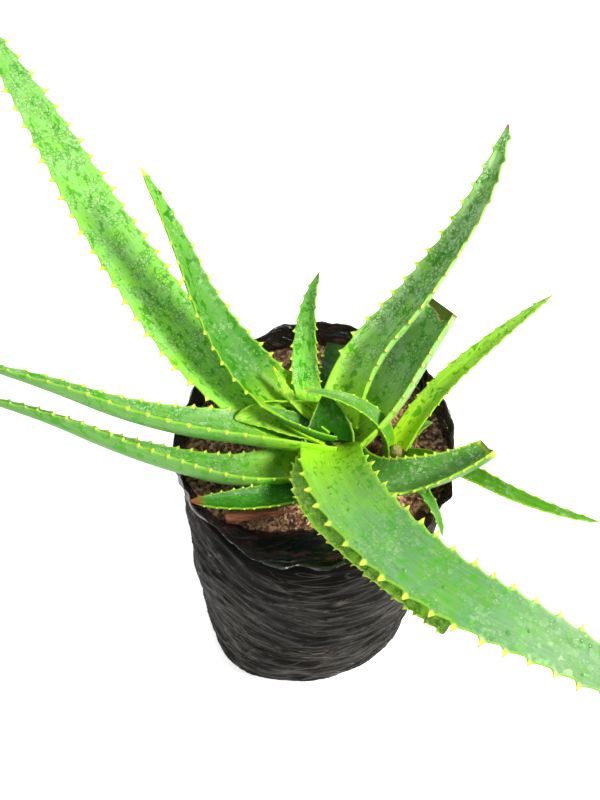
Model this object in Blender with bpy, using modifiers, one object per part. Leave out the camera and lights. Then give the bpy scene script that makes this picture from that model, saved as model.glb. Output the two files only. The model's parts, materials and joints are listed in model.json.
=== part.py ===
"""Potted egoli aloe in a soft black polythene nursery bag. Metres, +Z up, the viewer's side is -Y, bag bottom at z = 0."""

import math

import bmesh
import bpy
import numpy as np
from mathutils import Vector
from mathutils.bvhtree import BVHTree

MM = 0.001

# Nursery bag: a five litre lay-flat bag of 290 mm, so about 580 mm round
BAG_RADIUS = 92.5
BAG_FOOT_RADIUS = 90.0
BAG_FOOT_SHIFT_X = -8.0
BAG_WALL = 1.0
BAG_SEGMENTS = 40
BAG_LEVELS = (48.0, 92.0, 136.0, 180.0)
SHOULDER_Z = 204.0
WAIST_Z = 213.0
LIP_Z = 223.0
FRONT_FOLD_DEPTH = 33.0
RIM_AZIMUTHS = (-180, -142, -115, -90, -60, -40, -22, 0, 40, 90, 140, 180)
RIM_HEIGHTS = (240, 236, 233, 232, 232, 232, 235, 240, 245, 251, 246, 240)
RIM_RADII = (92, 94, 97, 97, 96, 94, 92, 92, 92, 91, 91, 92)

# Compost
SOIL_TOP = 215.0
SOIL_BUMP = 1.6
SOIL_GAP = 0.4
SOIL_RINGS = (0.86, 0.66, 0.46, 0.26)

# Stems: centre x, y, foot z, top z, foot radius, top radius
MAIN_STEM = (11.0, -3.0, 188.0, 241.0, 10.5, 8.0)
OFFSET_STEM = (54.0, -8.0, 196.0, 229.0, 6.0, 4.0)
STUB = (38.7, -4.7, 207.0, 222.5, 5.2, 4.8)
STUB_BORE = 3.1

# Leaves
EDGE = 1.0
CLEAR = 0.35
TIP_WIDTH = 1.8
TIP_THICK = 1.3
# The spine runs this share of the way up from the bottom of the channel to its margins
SETTLE = 0.8

GREEN = (0.16, 0.36, 0.13)
YELLOW_GREEN = (0.30, 0.42, 0.10)
DARK_GREEN = (0.06, 0.17, 0.06)


class Leaf:
    """One leaf: where it starts, how it bends, how wide it is, where it was cut and how far its base clasps."""

    def __init__(self, name, root, length, width, thick, heading, rise, roll, channel, fullness=1.5,
                 whole=0.0, pitch=11.0, tooth=2.8, bare=26.0, ring=8, wave=0.0, sheath=0.0, colour=GREEN):
        self.name = name
        self.root = np.array(root, float)
        self.length = length
        self.width = width
        self.thick = thick
        self.heading = heading
        self.rise = rise
        self.roll = roll
        self.channel = channel
        self.fullness = fullness
        self.whole = whole if whole else length
        self.pitch = pitch
        self.tooth = tooth
        self.bare = bare
        self.ring = ring
        self.wave = wave
        self.sheath = sheath
        self.colour = colour

    def is_cut(self):
        """True where the leaf ends in a straight cut instead of a tip."""
        return self.whole > self.length


# Listed from the heart outwards: each leaf is cut back to clear the stem and those listed before it
LEAVES = (
    Leaf("leaf_heart", (12, 0, 238), 33, 38, 3.6, (98, 118), (62, 72), (0, 0), (58, 44),
         1.1, pitch=6.0, tooth=1.2, bare=8, ring=6, colour=DARK_GREEN),
    Leaf("leaf_centre", (6, 3, 248), 102, 21, 4.4, (161, 98, 74, 40), (40, 63, 72, 60), (0, -2, -3, -3),
         (55, 47, 42, 31), 1.58, pitch=8.0, tooth=2.0, bare=20, ring=6, sheath=7, colour=YELLOW_GREEN),
    Leaf("leaf_sliver", (9, -1, 242), 64, 10, 2.6, (202, 162, 136), (48, 55, 60), (0, 0, 0), (30, 28, 25),
         1.4, pitch=8.0, tooth=1.2, bare=34, ring=6, sheath=2, colour=YELLOW_GREEN),
    Leaf("leaf_young", (10, -6, 246), 53, 23, 3.4, (190, 177, 172), (25, 30, 28), (6, 18, 20), (84, 84, 69),
         1.8, pitch=7.0, tooth=1.8, bare=12, ring=8, sheath=5),
    Leaf("leaf_curled", (2, -3, 250), 56, 36, 3.2, (184, 178, 196), (20, 14, -14), (-30, -52, -56), (84, 92, 84),
         2.4, pitch=6.6, tooth=1.6, bare=12, ring=8, sheath=5, colour=YELLOW_GREEN),
    Leaf("leaf_back_left_inner", (4, 0, 246), 195, 39, 6.4, (174, 146, 124, 137), (36, 39, 53, 48),
         (-9, -12, 27, 17), (60, 44, 45, 32), 1.08, pitch=11.0, tooth=2.8, bare=34, sheath=6),
    Leaf("leaf_back_right", (14, 0, 244), 210, 39, 6.6, (79, 28, 38, 70), (49, 42, 50, 48), (-13, -6, -14, -13),
         (80, 71, 60, 41), 1.5, pitch=11.4, tooth=3.0, bare=34, sheath=5),
    Leaf("leaf_back_left", (4, -2, 238), 367, 42, 7.6, (170, 135, 128, 135), (19, 32, 36, 37), (-12, -4, 2, 6),
         (46, 34, 26, 21), 2.03, pitch=12.6, tooth=3.4, bare=48, sheath=4),
    Leaf("leaf_front_right", (10, -11, 240), 335, 43, 7.6, (-99, -59, -25, -21, -20), (36, 10, -10, -26, -38),
         (0, 8, 14, 12, 10), (48, 26, 20, 20, 18), 1.2, pitch=12.6, tooth=3.4, bare=24, sheath=6),
    Leaf("leaf_left_upper", (3, -5, 240), 219, 41, 6.6, (190, 189, 173, 171), (24, 20, 23, 7), (14, 18, 42, 40),
         (71, 77, 77, 63), 1.35, pitch=11.4, tooth=2.8, bare=34, sheath=6),
    Leaf("leaf_right_cut", (17, -12, 232), 108, 35, 5.6, (-81, -3, 24), (17, 19, 20), (-1, -2, -36), (55, 63, 66),
         1.6, whole=190, pitch=9.6, tooth=2.4, bare=28, sheath=5),
    Leaf("leaf_back_right_cut", (20, 0, 238), 102, 50, 6.2, (24, 44, 38), (37, 44, 43), (-9, -20, -26),
         (66, 74, 62), 1.7, whole=185, pitch=10.4, tooth=2.8, bare=30, sheath=6),
    Leaf("leaf_left_lower", (4, -9, 232), 231, 40, 6.6, (223, 176, 166, 172), (7, 15, 17, 7), (-6, 34, 60, 40),
         (62, 70, 75, 63), 1.4, pitch=9.6, tooth=2.8, bare=38, sheath=4),
    Leaf("leaf_front_cut", (8, -11, 230), 163, 27, 5.6, (-127, -53, -38), (36, 8, -12), (0, 10, 14), (48, 26, 18),
         1.5, whole=225, pitch=8.0, tooth=2.4, bare=30, wave=0.8, sheath=3),
    Leaf("leaf_back_cut", (12, 6, 233), 67, 24, 6.0, (90, 82), (14, 10), (0, 0), (45, 34),
         1.5, whole=120, pitch=10.0, tooth=2.4, bare=30, sheath=3, colour=DARK_GREEN),
    Leaf("leaf_front_left", (5, -12, 227), 107, 30, 4.8, (262, 203, 181), (11, 17, 6), (5, 12, -3), (56, 60, 50),
         1.85, pitch=8.6, tooth=2.2, bare=22, ring=6, sheath=3),
    Leaf("offset_leaf_right", (55, -3, 225), 139, 18, 4.4, (50, 24, 19), (45, 40, 35), (-8, 0, -2), (50, 38, 30),
         1.55, pitch=9.0, tooth=1.8, bare=22, ring=6, colour=YELLOW_GREEN),
    Leaf("offset_leaf_arched", (50, -8, 224), 93, 16, 3.8, (163, 175, 181), (91, 42, 1), (-6, -5, 0), (60, 49, 40),
         1.64, pitch=9.0, tooth=1.2, bare=24, ring=6, colour=YELLOW_GREEN),
    Leaf("offset_leaf_thin", (60, -10, 224), 132, 14, 3.8, (-45, -42, -10), (43, 9, -6), (0, 10, 10), (46, 38, 28),
         1.5, pitch=8.6, tooth=1.6, bare=24, ring=6),
    Leaf("offset_leaf_hanging", (57, -13, 221), 76, 9, 2.8, (-92, -66, -60), (38, 20, -78), (0, 0, 0), (36, 28, 20),
         1.8, pitch=8.0, tooth=1.2, bare=20, ring=6),
    Leaf("offset_leaf_short", (57, -3, 221.5), 31, 15, 3.6, (69, -3), (24, 11), (0, 0), (44, 34),
         1.9, pitch=7.0, tooth=1.4, bare=12, ring=6, colour=DARK_GREEN),
    Leaf("offset_leaf_low", (58, -10, 221.0), 28, 11, 2.8, (-12, 4), (6, 2), (0, 0), (34, 26),
         1.8, pitch=7.0, tooth=1.0, bare=12, ring=6),
)


def clear_scene():
    """Removes everything the new file starts with."""
    for ob in list(bpy.data.objects):
        bpy.data.objects.remove(ob)
    for group in list(bpy.data.collections):
        bpy.data.collections.remove(group)


def material(name, colour, roughness, metallic=0.0):
    """A Principled material with its own name."""
    found = bpy.data.materials.get(name) or bpy.data.materials.new(name)
    found.use_nodes = True
    shader = found.node_tree.nodes["Principled BSDF"]
    shader.inputs["Base Color"].default_value = (*colour, 1.0)
    shader.inputs["Roughness"].default_value = roughness
    shader.inputs["Metallic"].default_value = metallic
    found.diffuse_color = (*colour, 1.0)
    return found


def mesh_object(name, points, faces, group, look, origin=(0.0, 0.0, 0.0), outwards=True):
    """A mesh object from points in millimetres, with its own origin and its faces turned outwards."""
    mesh = bpy.data.meshes.new(name)
    mesh.from_pydata([tuple(MM * float(v - o) for v, o in zip(p, origin)) for p in points], [], faces)
    bm = bmesh.new()
    bm.from_mesh(mesh)
    if outwards:
        bmesh.ops.recalc_face_normals(bm, faces=bm.faces)
    bmesh.ops.triangulate(bm, faces=bm.faces)
    bm.to_mesh(mesh)
    bm.free()
    ob = bpy.data.objects.new(name, mesh)
    mesh.materials.append(look)
    ob.location = [MM * float(o) for o in origin]
    group.objects.link(ob)
    return ob


def along(values, t):
    """Values spread evenly over the length, read at t in 0 to 1."""
    return np.interp(t, np.linspace(0.0, 1.0, len(values)), values)


def spine(leaf, s):
    """Points and frames of the midrib at the distances s along it."""
    fine = np.linspace(0.0, leaf.length, 121)
    t = fine / leaf.length
    head = np.radians(along(leaf.heading, t))
    rise = np.radians(along(leaf.rise, t))
    way = np.stack([np.cos(rise) * np.cos(head), np.cos(rise) * np.sin(head), np.sin(rise)], 1)
    steps = (way[:-1] + way[1:]) / 2 * (fine[1] - fine[0])
    path = leaf.root + np.vstack([np.zeros(3), np.cumsum(steps, 0)])
    points = np.stack([np.interp(s, fine, path[:, k]) for k in range(3)], 1)
    points += np.minimum(s, 0.0)[:, None] * way[0]
    q = np.clip(s / leaf.length, 0, 1)
    head = np.radians(along(leaf.heading, q))
    rise = np.radians(along(leaf.rise, q))
    roll = np.radians(along(leaf.roll, q))
    way = np.stack([np.cos(rise) * np.cos(head), np.cos(rise) * np.sin(head), np.sin(rise)], 1)
    side = np.stack([-np.sin(head), np.cos(head), np.zeros_like(head)], 1)
    normal = np.cross(way, side)
    c, w = np.cos(roll)[:, None], np.sin(roll)[:, None]
    return points, way, side * c + normal * w, normal * c - side * w


def leaf_rings(leaf, s, grow):
    """Rings of points across the leaf at the distances s, and the two margins' outward directions."""
    points, way, side, normal = spine(leaf, s)
    t = np.clip(s / leaf.whole, 0, 1)
    width = np.maximum(leaf.width * (1 - t ** leaf.fullness) ** 0.75, TIP_WIDTH)
    thick = np.maximum(leaf.thick * (1 - 0.62 * t), EDGE + 0.4)
    thick = np.where(t > 0.97, TIP_THICK, thick)
    bend = np.radians(along(leaf.channel, np.clip(s / leaf.length, 0, 1)))
    radius = np.maximum(width / 2 / bend, thick + 1.2)
    bend = (width / 2 + grow) / radius
    us = (-1.0, -0.42, 0.42, 1.0) if leaf.ring == 8 else (-1.0, 0.0, 1.0)
    rings = []
    for surface in (1, -1):
        for u in us if surface > 0 else reversed(us):
            a = bend * u
            across = np.stack([np.sin(a), 1 - np.cos(a)], 1) * radius[:, None]
            across[:, 1] -= SETTLE * radius * (1 - np.cos(np.minimum(bend, 1.4)))
            across[:, 1] += leaf.wave * u * u * np.sin(2 * np.pi * s / 15.0)
            body = (thick - EDGE) * (1 - u * u) ** 0.7
            off = (EDGE / 2 + body * 0.36 if surface > 0 else -EDGE / 2 - body * 0.64) + surface * grow
            x = across[:, 0] - np.sin(a) * off
            y = across[:, 1] + np.cos(a) * off
            rings.append(points + side * x[:, None] + normal * y[:, None])
    left = -side * np.cos(bend)[:, None] + normal * np.sin(bend)[:, None]
    right = side * np.cos(bend)[:, None] + normal * np.sin(bend)[:, None]
    return np.stack(rings, 1), way, left, right


def leaf_object(leaf, group, look, grow=0.0):
    """A closed leaf with teeth down both margins, grown by some millimetres for use as a cutter."""
    count = max(4, 2 * round(leaf.length / leaf.pitch))
    s = np.linspace(0.0, leaf.length, count + 1)
    back = 1 if leaf.sheath else 0
    s = np.concatenate([[-leaf.sheath] * back, s])
    count += back
    rings, way, left, right = leaf_rings(leaf, s, grow)
    rings[0] -= way[0] * grow
    rings[-1] += way[-1] * grow
    n = rings.shape[1]
    top = n // 2 - 1
    points = [tuple(p) for ring in rings for p in ring]
    faces = [tuple(range(n)), tuple(count * n + k for k in reversed(range(n)))]
    for i in range(count):
        for k in range(n):
            j = (k + 1) % n
            quad = (i * n + k, i * n + j, (i + 1) * n + j, (i + 1) * n + k)
            margin = "right" if k == top else "left" if k == n - 1 else ""
            size = tooth_size(leaf, (s[i] + s[i + 1]) / 2)
            if not margin or size < 0.4 or (i + back) % 2 != (margin == "right"):
                faces.append(quad)
                continue
            out = (right if margin == "right" else left)[i : i + 2].mean(0)
            middle = np.mean([points[q] for q in quad], 0)
            lean = -way[i] * (s[i + 1] - s[i]) * 0.2
            points.append(tuple(middle + out * (size + 1.6 * grow) + lean))
            tip = len(points) - 1
            faces += [(quad[q], quad[(q + 1) % 4], tip) for q in range(4)]
    return mesh_object(leaf.name, points, faces, group, look, leaf.root)


def tooth_size(leaf, s):
    """How far a tooth stands out at the distance s: none by the stem, smaller towards the tip."""
    if s < leaf.bare or s > leaf.whole - 5 or s > leaf.length - 4:
        return 0.0
    near = min(1.0, 0.6 + (s - leaf.bare) / 60)
    far = min(1.0, 0.45 + (leaf.whole - s) / 130)
    return leaf.tooth * min(near, far)


def bag_centre(z):
    """The bag leans: its foot is a little to the left."""
    return BAG_FOOT_SHIFT_X * (1 - min(1.0, z / 200.0)) ** 1.3


def bump(azimuth, centre, spread):
    """A smooth hill of height 1 round the azimuth, in degrees."""
    off = (azimuth - centre + 180) % 360 - 180
    return math.exp(-((off / spread) ** 2))


def body_radius(azimuth, z):
    """Radius of the filled bag below its shoulder, with soft dents and the two foot corners."""
    share = min(1.0, z / 200.0)
    a = math.radians(azimuth)
    r = BAG_FOOT_RADIUS + (BAG_RADIUS - BAG_FOOT_RADIUS) * share + 1.6 * math.sin(math.pi * share)
    r += 0.9 * math.sin(3 * a + z / 31.0) + 0.7 * math.sin(5 * a - z / 23.0 + 1.0)
    low = max(0.0, 1 - z / 46.0)
    r += 8.0 * bump(azimuth, -125, 20) * low + 5.0 * bump(azimuth, -35, 16) * max(0.0, 1 - abs(z - 30) / 40.0)
    return r


def bag_profile(azimuth):
    """(radius, height) pairs of the bag's outside from the foot up to the rim."""
    fold = FRONT_FOLD_DEPTH * bump(azimuth, -92, 42)
    foot = body_radius(azimuth, 0)
    pairs = [(foot - 13, 0.0), (foot - 4, 3.4), (body_radius(azimuth, 12), 12.0)]
    pairs += [(body_radius(azimuth, z), z) for z in BAG_LEVELS]
    upper = body_radius(azimuth, 200)
    rim = np.interp((azimuth + 180) % 360 - 180, RIM_AZIMUTHS, RIM_RADII)
    rim_z = np.interp((azimuth + 180) % 360 - 180, RIM_AZIMUTHS, RIM_HEIGHTS)
    pairs.append((upper - 0.22 * fold, SHOULDER_Z))
    pairs.append((upper - fold, WAIST_Z))
    pairs.append((rim - 0.46 * fold, LIP_Z))
    pairs.append((rim, rim_z))
    return np.array(pairs)


def inset(pairs, depth):
    """The profile moved inwards by depth, square to itself."""
    ways = np.diff(pairs, axis=0)
    ways /= np.linalg.norm(ways, axis=1)[:, None]
    normals = np.stack([-ways[:, 1], ways[:, 0]], 1)
    joined = np.vstack([normals[:1], normals[:-1] + normals[1:], normals[-1:]])
    joined /= np.linalg.norm(joined, axis=1)[:, None]
    spread = np.ones(len(pairs))
    spread[1:-1] = 1 / np.clip((joined[1:-1] * normals[:-1]).sum(1), 0.55, 1)
    moved = pairs + joined * (depth * spread)[:, None]
    moved[0] = (pairs[0, 0] - depth * 0.4, pairs[0, 1] + depth)
    return moved


def ring_points(profiles, level):
    """World points of one level of the profiles, one for each azimuth."""
    made = []
    for k, pairs in enumerate(profiles):
        a = 2 * math.pi * k / BAG_SEGMENTS
        r, z = pairs[level]
        made.append((bag_centre(z) + r * math.cos(a), r * math.sin(a), z))
    return made


def band(first, second, n):
    """Quads between two rings that start at the indices first and second."""
    return [(first + k, first + (k + 1) % n, second + (k + 1) % n, second + k) for k in range(n)]


def build_bag(group):
    """The bag's outside as an open surface, closed at its flat foot, with a Solidify wall inwards."""
    azimuths = [360 * k / BAG_SEGMENTS for k in range(BAG_SEGMENTS)]
    outside = [bag_profile(a) for a in azimuths]
    n, levels = BAG_SEGMENTS, len(outside[0])
    points = [p for level in range(levels) for p in ring_points(outside, level)]
    faces = [f for row in range(levels - 1) for f in band(row * n, (row + 1) * n, n)]
    faces.append(tuple(reversed(range(n))))
    look = material("black_polythene", (0.012, 0.012, 0.013), 0.35)
    bag = mesh_object("polybag", points, faces, group, look, outwards=False)
    wall = bag.modifiers.new("film", "SOLIDIFY")
    wall.thickness = BAG_WALL * MM
    wall.offset = -1.0
    wall.use_even_offset = True
    bag.data.shade_smooth()
    return bag


def soil_height(x, y):
    """Bumpy top of the compost."""
    wave = math.sin(x / 9.0 + 1.3) * math.cos(y / 8.0) + 0.6 * math.sin(x / 5.0 - y / 7.0)
    return SOIL_TOP + SOIL_BUMP * wave * 0.6


def build_soil(group):
    """Compost that fills the bag up to its waist, with plain holes for what stands in it."""
    azimuths = [360 * k / BAG_SEGMENTS for k in range(BAG_SEGMENTS)]
    skins = [inset(bag_profile(a), BAG_WALL + SOIL_GAP) for a in azimuths]
    n = BAG_SEGMENTS
    waist = len(skins[0]) - 3
    for azimuth, pairs in zip(azimuths, skins):
        slack = bump(azimuth, -92, 60)
        pairs[waist] -= (2.2 * slack, 0.8 * slack)
        pairs[waist - 1] -= (1.0 * slack, 0.6 * slack)
    points = [p for level in range(waist + 1) for p in ring_points(skins, level)]
    edge = points[-n:]
    for share in SOIL_RINGS:
        for x, y, z in edge:
            points.append((x * share, y * share, soil_height(x * share, y * share)))
    rows = waist + 1 + len(SOIL_RINGS)
    faces = [f for row in range(rows - 1) for f in band(row * n, (row + 1) * n, n)]
    faces.append(tuple(range(n)))
    points.append((0.0, 0.0, soil_height(0, 0)))
    centre = len(points) - 1
    faces += [((rows - 1) * n + k, (rows - 1) * n + (k + 1) % n, centre) for k in range(n)]
    return mesh_object("soil", points, faces, group, material("compost", (0.045, 0.025, 0.018), 0.95))


def turned(name, profile, centre, sides, group, look):
    """A solid turned about an upright axis: (radius, height) pairs from the top, down the outside, to the foot."""
    mesh = bpy.data.meshes.new(name)
    points = [(r * MM, 0.0, z * MM) for r, z in profile]
    mesh.from_pydata(points, [(k, k + 1) for k in range(len(points) - 1)], [])
    mesh.materials.append(look)
    ob = bpy.data.objects.new(name, mesh)
    ob.location = (centre[0] * MM, centre[1] * MM, 0.0)
    group.objects.link(ob)
    lathe = ob.modifiers.new("lathe", "SCREW")
    lathe.angle = 2 * math.pi
    lathe.steps = lathe.render_steps = sides
    lathe.use_merge_vertices = True
    lathe.merge_threshold = 1e-5
    lathe.use_smooth_shade = True
    return ob


def stem(name, spec, group, look, sides, grow=0.0):
    """A tapering upright stem with a rounded top and foot."""
    x, y, low, high, foot, top = spec
    profile = [(0, high + grow), (top * 0.6 + grow, high + grow), (top + grow, high - 2.5)]
    profile += [((foot + top) / 2 + grow, (low + high) / 2), (foot + grow, low + 2.5)]
    profile += [(foot * 0.8 + grow, low - grow), (0, low - grow)]
    return turned(name, profile, (x, y), sides, group, look)


def build_stub(name, group, look, grow=0.0):
    """The dry hollow stalk stub: a short tube, or a plain peg of its size as a cutter."""
    x, y, low, high, foot, top = STUB
    outside = [(top + grow, high + grow), (foot + grow, low + 2), (foot * 0.8 + grow, low - grow), (0, low - grow)]
    bore = [(0, low + 4), (STUB_BORE, low + 4), (STUB_BORE, high)]
    start = [(0, high + grow)] if grow else bore
    return turned(name, start + outside, (x, y), 12, group, look)


def evaluated(ob):
    """A new mesh of the object with its modifiers, in its own space."""
    graph = bpy.context.evaluated_depsgraph_get()
    return bpy.data.meshes.new_from_object(ob.evaluated_get(graph))


def tree_of(mesh, place):
    """A search tree over a mesh's triangles where they stand, and its volume, or 0 where it isn't closed."""
    bm = bmesh.new()
    bm.from_mesh(mesh)
    bm.transform(place)
    bmesh.ops.triangulate(bm, faces=bm.faces)
    closed = bool(bm.faces) and all(len(e.link_faces) == 2 for e in bm.edges)
    tree = BVHTree.FromBMesh(bm)
    volume = bm.calc_volume() if closed else 0.0
    bm.free()
    return tree, volume


def subtract(ob, cutter):
    """Takes cutter away from ob and keeps the result as ob's mesh, by the second solver where the first fails."""
    room, _ = tree_of(evaluated(cutter), cutter.matrix_world)
    before, volume = tree_of(ob.data, ob.matrix_world)
    if not before.overlap(room):
        return
    old = ob.data
    for solver in ("EXACT", "MANIFOLD"):
        change = ob.modifiers.new("cut", "BOOLEAN")
        change.operation = "DIFFERENCE"
        change.solver = solver
        change.object = cutter
        cut = evaluated(ob)
        ob.modifiers.remove(change)
        _, left = tree_of(cut, ob.matrix_world)
        if 0 < left < volume - 1e-12:
            break
        print("solver", solver, "failed on", ob.name, "less", cutter.name, volume, left)
    ob.data = cut
    cut.name = ob.name
    bpy.data.meshes.remove(old)


def tidy_mesh(ob, far=None):
    """Joins doubled points, drops loose scraps and keeps the piece that reaches far."""
    for close in (1e-4, 2e-5, 1e-6):
        bm = bmesh.new()
        bm.from_mesh(ob.data)
        bmesh.ops.triangulate(bm, faces=bm.faces)
        bmesh.ops.remove_doubles(bm, verts=bm.verts, dist=close)
        bmesh.ops.dissolve_degenerate(bm, edges=bm.edges, dist=close / 10)
        if all(len(e.link_faces) == 2 for e in bm.edges):
            break
        bm.free()
        bm = bmesh.new()
        bm.from_mesh(ob.data)
    bm.faces.index_update()
    parts, seen = [], set()
    for start in bm.faces:
        if start.index in seen:
            continue
        stack, part = [start], []
        seen.add(start.index)
        while stack:
            face = stack.pop()
            part.append(face)
            for e in face.edges:
                for other in e.link_faces:
                    if other.index not in seen:
                        seen.add(other.index)
                        stack.append(other)
        parts.append(part)
    if len(parts) > 1:
        if far is None:
            kept = max(parts, key=len)
        else:
            kept = min(parts, key=lambda p: min((v.co - far).length for f in p for v in f.verts))
        loose = [f for p in parts if p is not kept for f in p]
        bmesh.ops.delete(bm, geom=loose, context="FACES")
    bmesh.ops.recalc_face_normals(bm, faces=bm.faces)
    bm.to_mesh(ob.data)
    bm.free()


def build_leaves(group, cutters, stems):
    """All leaves, each cut back to clear the stems and the leaves listed before it."""
    grown = list(stems)
    for leaf in LEAVES:
        look = material("skin_" + leaf.name, leaf.colour, 0.45)
        ob = leaf_object(leaf, group, look)
        far = Vector((spine(leaf, np.array([leaf.length]))[0][0] - leaf.root) * MM)
        bpy.context.view_layer.update()
        for cutter in grown:
            subtract(ob, cutter)
        tidy_mesh(ob, far)
        grown.append(leaf_object(leaf, cutters, look, CLEAR))


def build():
    """The whole plant in its bag."""
    clear_scene()
    scene = bpy.context.scene
    group = bpy.data.collections.new("potted_egoli_aloe")
    cutters = bpy.data.collections.new("cutters")
    scene.collection.children.link(group)
    scene.collection.children.link(cutters)
    build_bag(group)
    soil = build_soil(group)
    bark = material("stem_skin", (0.17, 0.13, 0.06), 0.8)
    pale_bark = material("offset_stem_skin", (0.2, 0.2, 0.08), 0.75)
    dry = material("dry_stalk", (0.35, 0.17, 0.06), 0.85)
    stem("main_stem", MAIN_STEM, group, bark, 16)
    stem("offset_stem", OFFSET_STEM, group, pale_bark, 12)
    build_stub("stalk_stub", group, dry)
    grown = [
        stem("main_stem_room", MAIN_STEM, cutters, bark, 16, CLEAR),
        stem("offset_stem_room", OFFSET_STEM, cutters, pale_bark, 12, CLEAR),
    ]
    stub_room = build_stub("stalk_stub_room", cutters, dry, CLEAR)
    bpy.context.view_layer.update()
    for cutter in (*grown, stub_room):
        subtract(soil, cutter)
    tidy_mesh(soil)
    build_leaves(group, cutters, grown)
    for ob in cutters.objects:
        ob.hide_render = True
        ob.display_type = "WIRE"
    for name in [ob.name for ob in cutters.objects]:
        bpy.data.objects.remove(bpy.data.objects[name])


if __name__ == "__main__":
    build()
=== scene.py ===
"""Looks of the potted egoli aloe in its black nursery bag. Metres, +Z up, the viewer is on the -Y side.

Meshes are worked out in millimetres and turned to metres as they are made.
"""
import json
import logging
import math
import random
from collections.abc import Sequence
from dataclasses import dataclass, field
from enum import Enum

import bmesh
import bpy
import numpy as np
from mathutils import Matrix, Vector, noise

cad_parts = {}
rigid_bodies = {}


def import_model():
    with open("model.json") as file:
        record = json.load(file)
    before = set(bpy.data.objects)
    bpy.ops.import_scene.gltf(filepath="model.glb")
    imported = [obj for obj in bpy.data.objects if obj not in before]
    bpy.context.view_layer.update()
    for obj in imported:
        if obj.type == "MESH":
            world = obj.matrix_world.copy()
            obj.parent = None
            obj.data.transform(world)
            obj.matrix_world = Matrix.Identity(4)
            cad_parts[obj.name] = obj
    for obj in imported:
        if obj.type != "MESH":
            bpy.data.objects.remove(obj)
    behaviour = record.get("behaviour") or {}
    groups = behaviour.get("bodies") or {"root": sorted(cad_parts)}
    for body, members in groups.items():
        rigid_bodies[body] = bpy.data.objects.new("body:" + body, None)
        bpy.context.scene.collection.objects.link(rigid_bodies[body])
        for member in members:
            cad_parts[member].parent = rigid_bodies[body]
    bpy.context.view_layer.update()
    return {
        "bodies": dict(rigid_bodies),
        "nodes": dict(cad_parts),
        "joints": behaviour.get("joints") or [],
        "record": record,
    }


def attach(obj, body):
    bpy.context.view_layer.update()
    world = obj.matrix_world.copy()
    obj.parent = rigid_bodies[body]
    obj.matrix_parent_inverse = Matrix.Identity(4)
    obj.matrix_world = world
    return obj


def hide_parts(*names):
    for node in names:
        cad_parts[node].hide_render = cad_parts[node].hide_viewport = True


LOG = logging.getLogger("potted_aloe")

MM = 0.001

Triple = tuple[float, float, float]
Pair = tuple[float, float]
Face = tuple[int, ...]
Material = bpy.types.Material
Node = bpy.types.Node
Piece = bpy.types.Object
Socket = bpy.types.NodeSocket
Tree = bpy.types.NodeTree

# Settings that many nodes share, and the numbers of the colour sockets of a Mix node
SOFT = {"interpolation_type": "SMOOTHSTEP"}
TIMES = {"operation": "MULTIPLY"}
TIMES_PLUS = {"operation": "MULTIPLY_ADD"}
LARGER = {"operation": "MAXIMUM"}
RGBA = {"data_type": "RGBA"}
MIX_A = 6
MIX_B = 7
MIX_RESULT = 2


def paint(hex_colour: str) -> tuple[float, float, float, float]:
    """Turns an sRGB hex colour to linear RGBA.

    Args:
        hex_colour: six hex digits after a hash sign.

    Returns:
        Linear red, green, blue and an alpha of 1.
    """
    channels = []
    for start in (1, 3, 5):
        share = int(hex_colour[start : start + 2], 16) / 255.0
        channels.append(share / 12.92 if share <= 0.04045 else ((share + 0.055) / 1.055) ** 2.4)
    return (channels[0], channels[1], channels[2], 1.0)


def add_node(
    tree: Tree,
    kind: str,
    settings: dict[str | int, object] | None = None,
    links: dict[str | int, Socket] | None = None,
) -> Node:
    """Adds one shader node with its settings and links.

    Args:
        tree: the node tree of the material.
        kind: the node's type without its ShaderNode prefix.
        settings: values by property name, or by input name or number.
        links: the output sockets that feed the inputs, by input name or number.

    Returns:
        The new node.
    """
    node = tree.nodes.new("ShaderNode" + kind)
    for key, value in (settings or {}).items():
        if isinstance(key, str) and hasattr(node, key):
            setattr(node, key, value)
        else:
            node.inputs[key].default_value = value
    for key, socket in (links or {}).items():
        tree.links.new(socket, node.inputs[key])
    return node


def blank_material(name: str) -> tuple[Material, Tree, Node]:
    """Makes a material that holds only its output and a Principled shader.

    Args:
        name: the material's name.

    Returns:
        The material, its node tree and its shader.
    """
    made = bpy.data.materials.new(name)
    made.use_nodes = True
    tree = made.node_tree
    tree.nodes.clear()
    shader = add_node(tree, "BsdfPrincipled")
    add_node(tree, "OutputMaterial", links={"Surface": shader.outputs[0]})
    return made, tree, shader


def mesh_piece(
    name: str, points: np.ndarray, faces: list[Face], fields: dict[str, np.ndarray] | None = None
) -> Piece:
    """Makes a smooth-shaded object from points in millimetres.

    Args:
        name: the piece's name.
        points: one row of x, y, z for each point.
        faces: tuples of point numbers.
        fields: vector attributes by name, one row for each point.

    Returns:
        The object, linked to the scene, with its origin at the frame's.
    """
    mesh = bpy.data.meshes.new(name)
    mesh.from_pydata((np.asarray(points) * MM).tolist(), [], faces)
    for label, rows in (fields or {}).items():
        layer = mesh.attributes.new(label, "FLOAT_VECTOR", "POINT")
        layer.data.foreach_set("vector", np.asarray(rows, np.float32).ravel())
    mesh.shade_smooth()
    made = bpy.data.objects.new(name, mesh)
    bpy.context.scene.collection.objects.link(made)
    return made


def grid_faces(rows: int, columns: int, first: int = 0) -> list[Face]:
    """Quads over a grid of points whose columns close into a ring.

    Args:
        rows: how many rows of points there are.
        columns: how many points are in a row.
        first: the number of the grid's first point.

    Returns:
        The quads, turned the same way.
    """
    made = []
    for row in range(rows - 1):
        low = first + row * columns
        for k in range(columns):
            j = (k + 1) % columns
            made.append((low + k, low + j, low + columns + j, low + columns + k))
    return made


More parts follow.
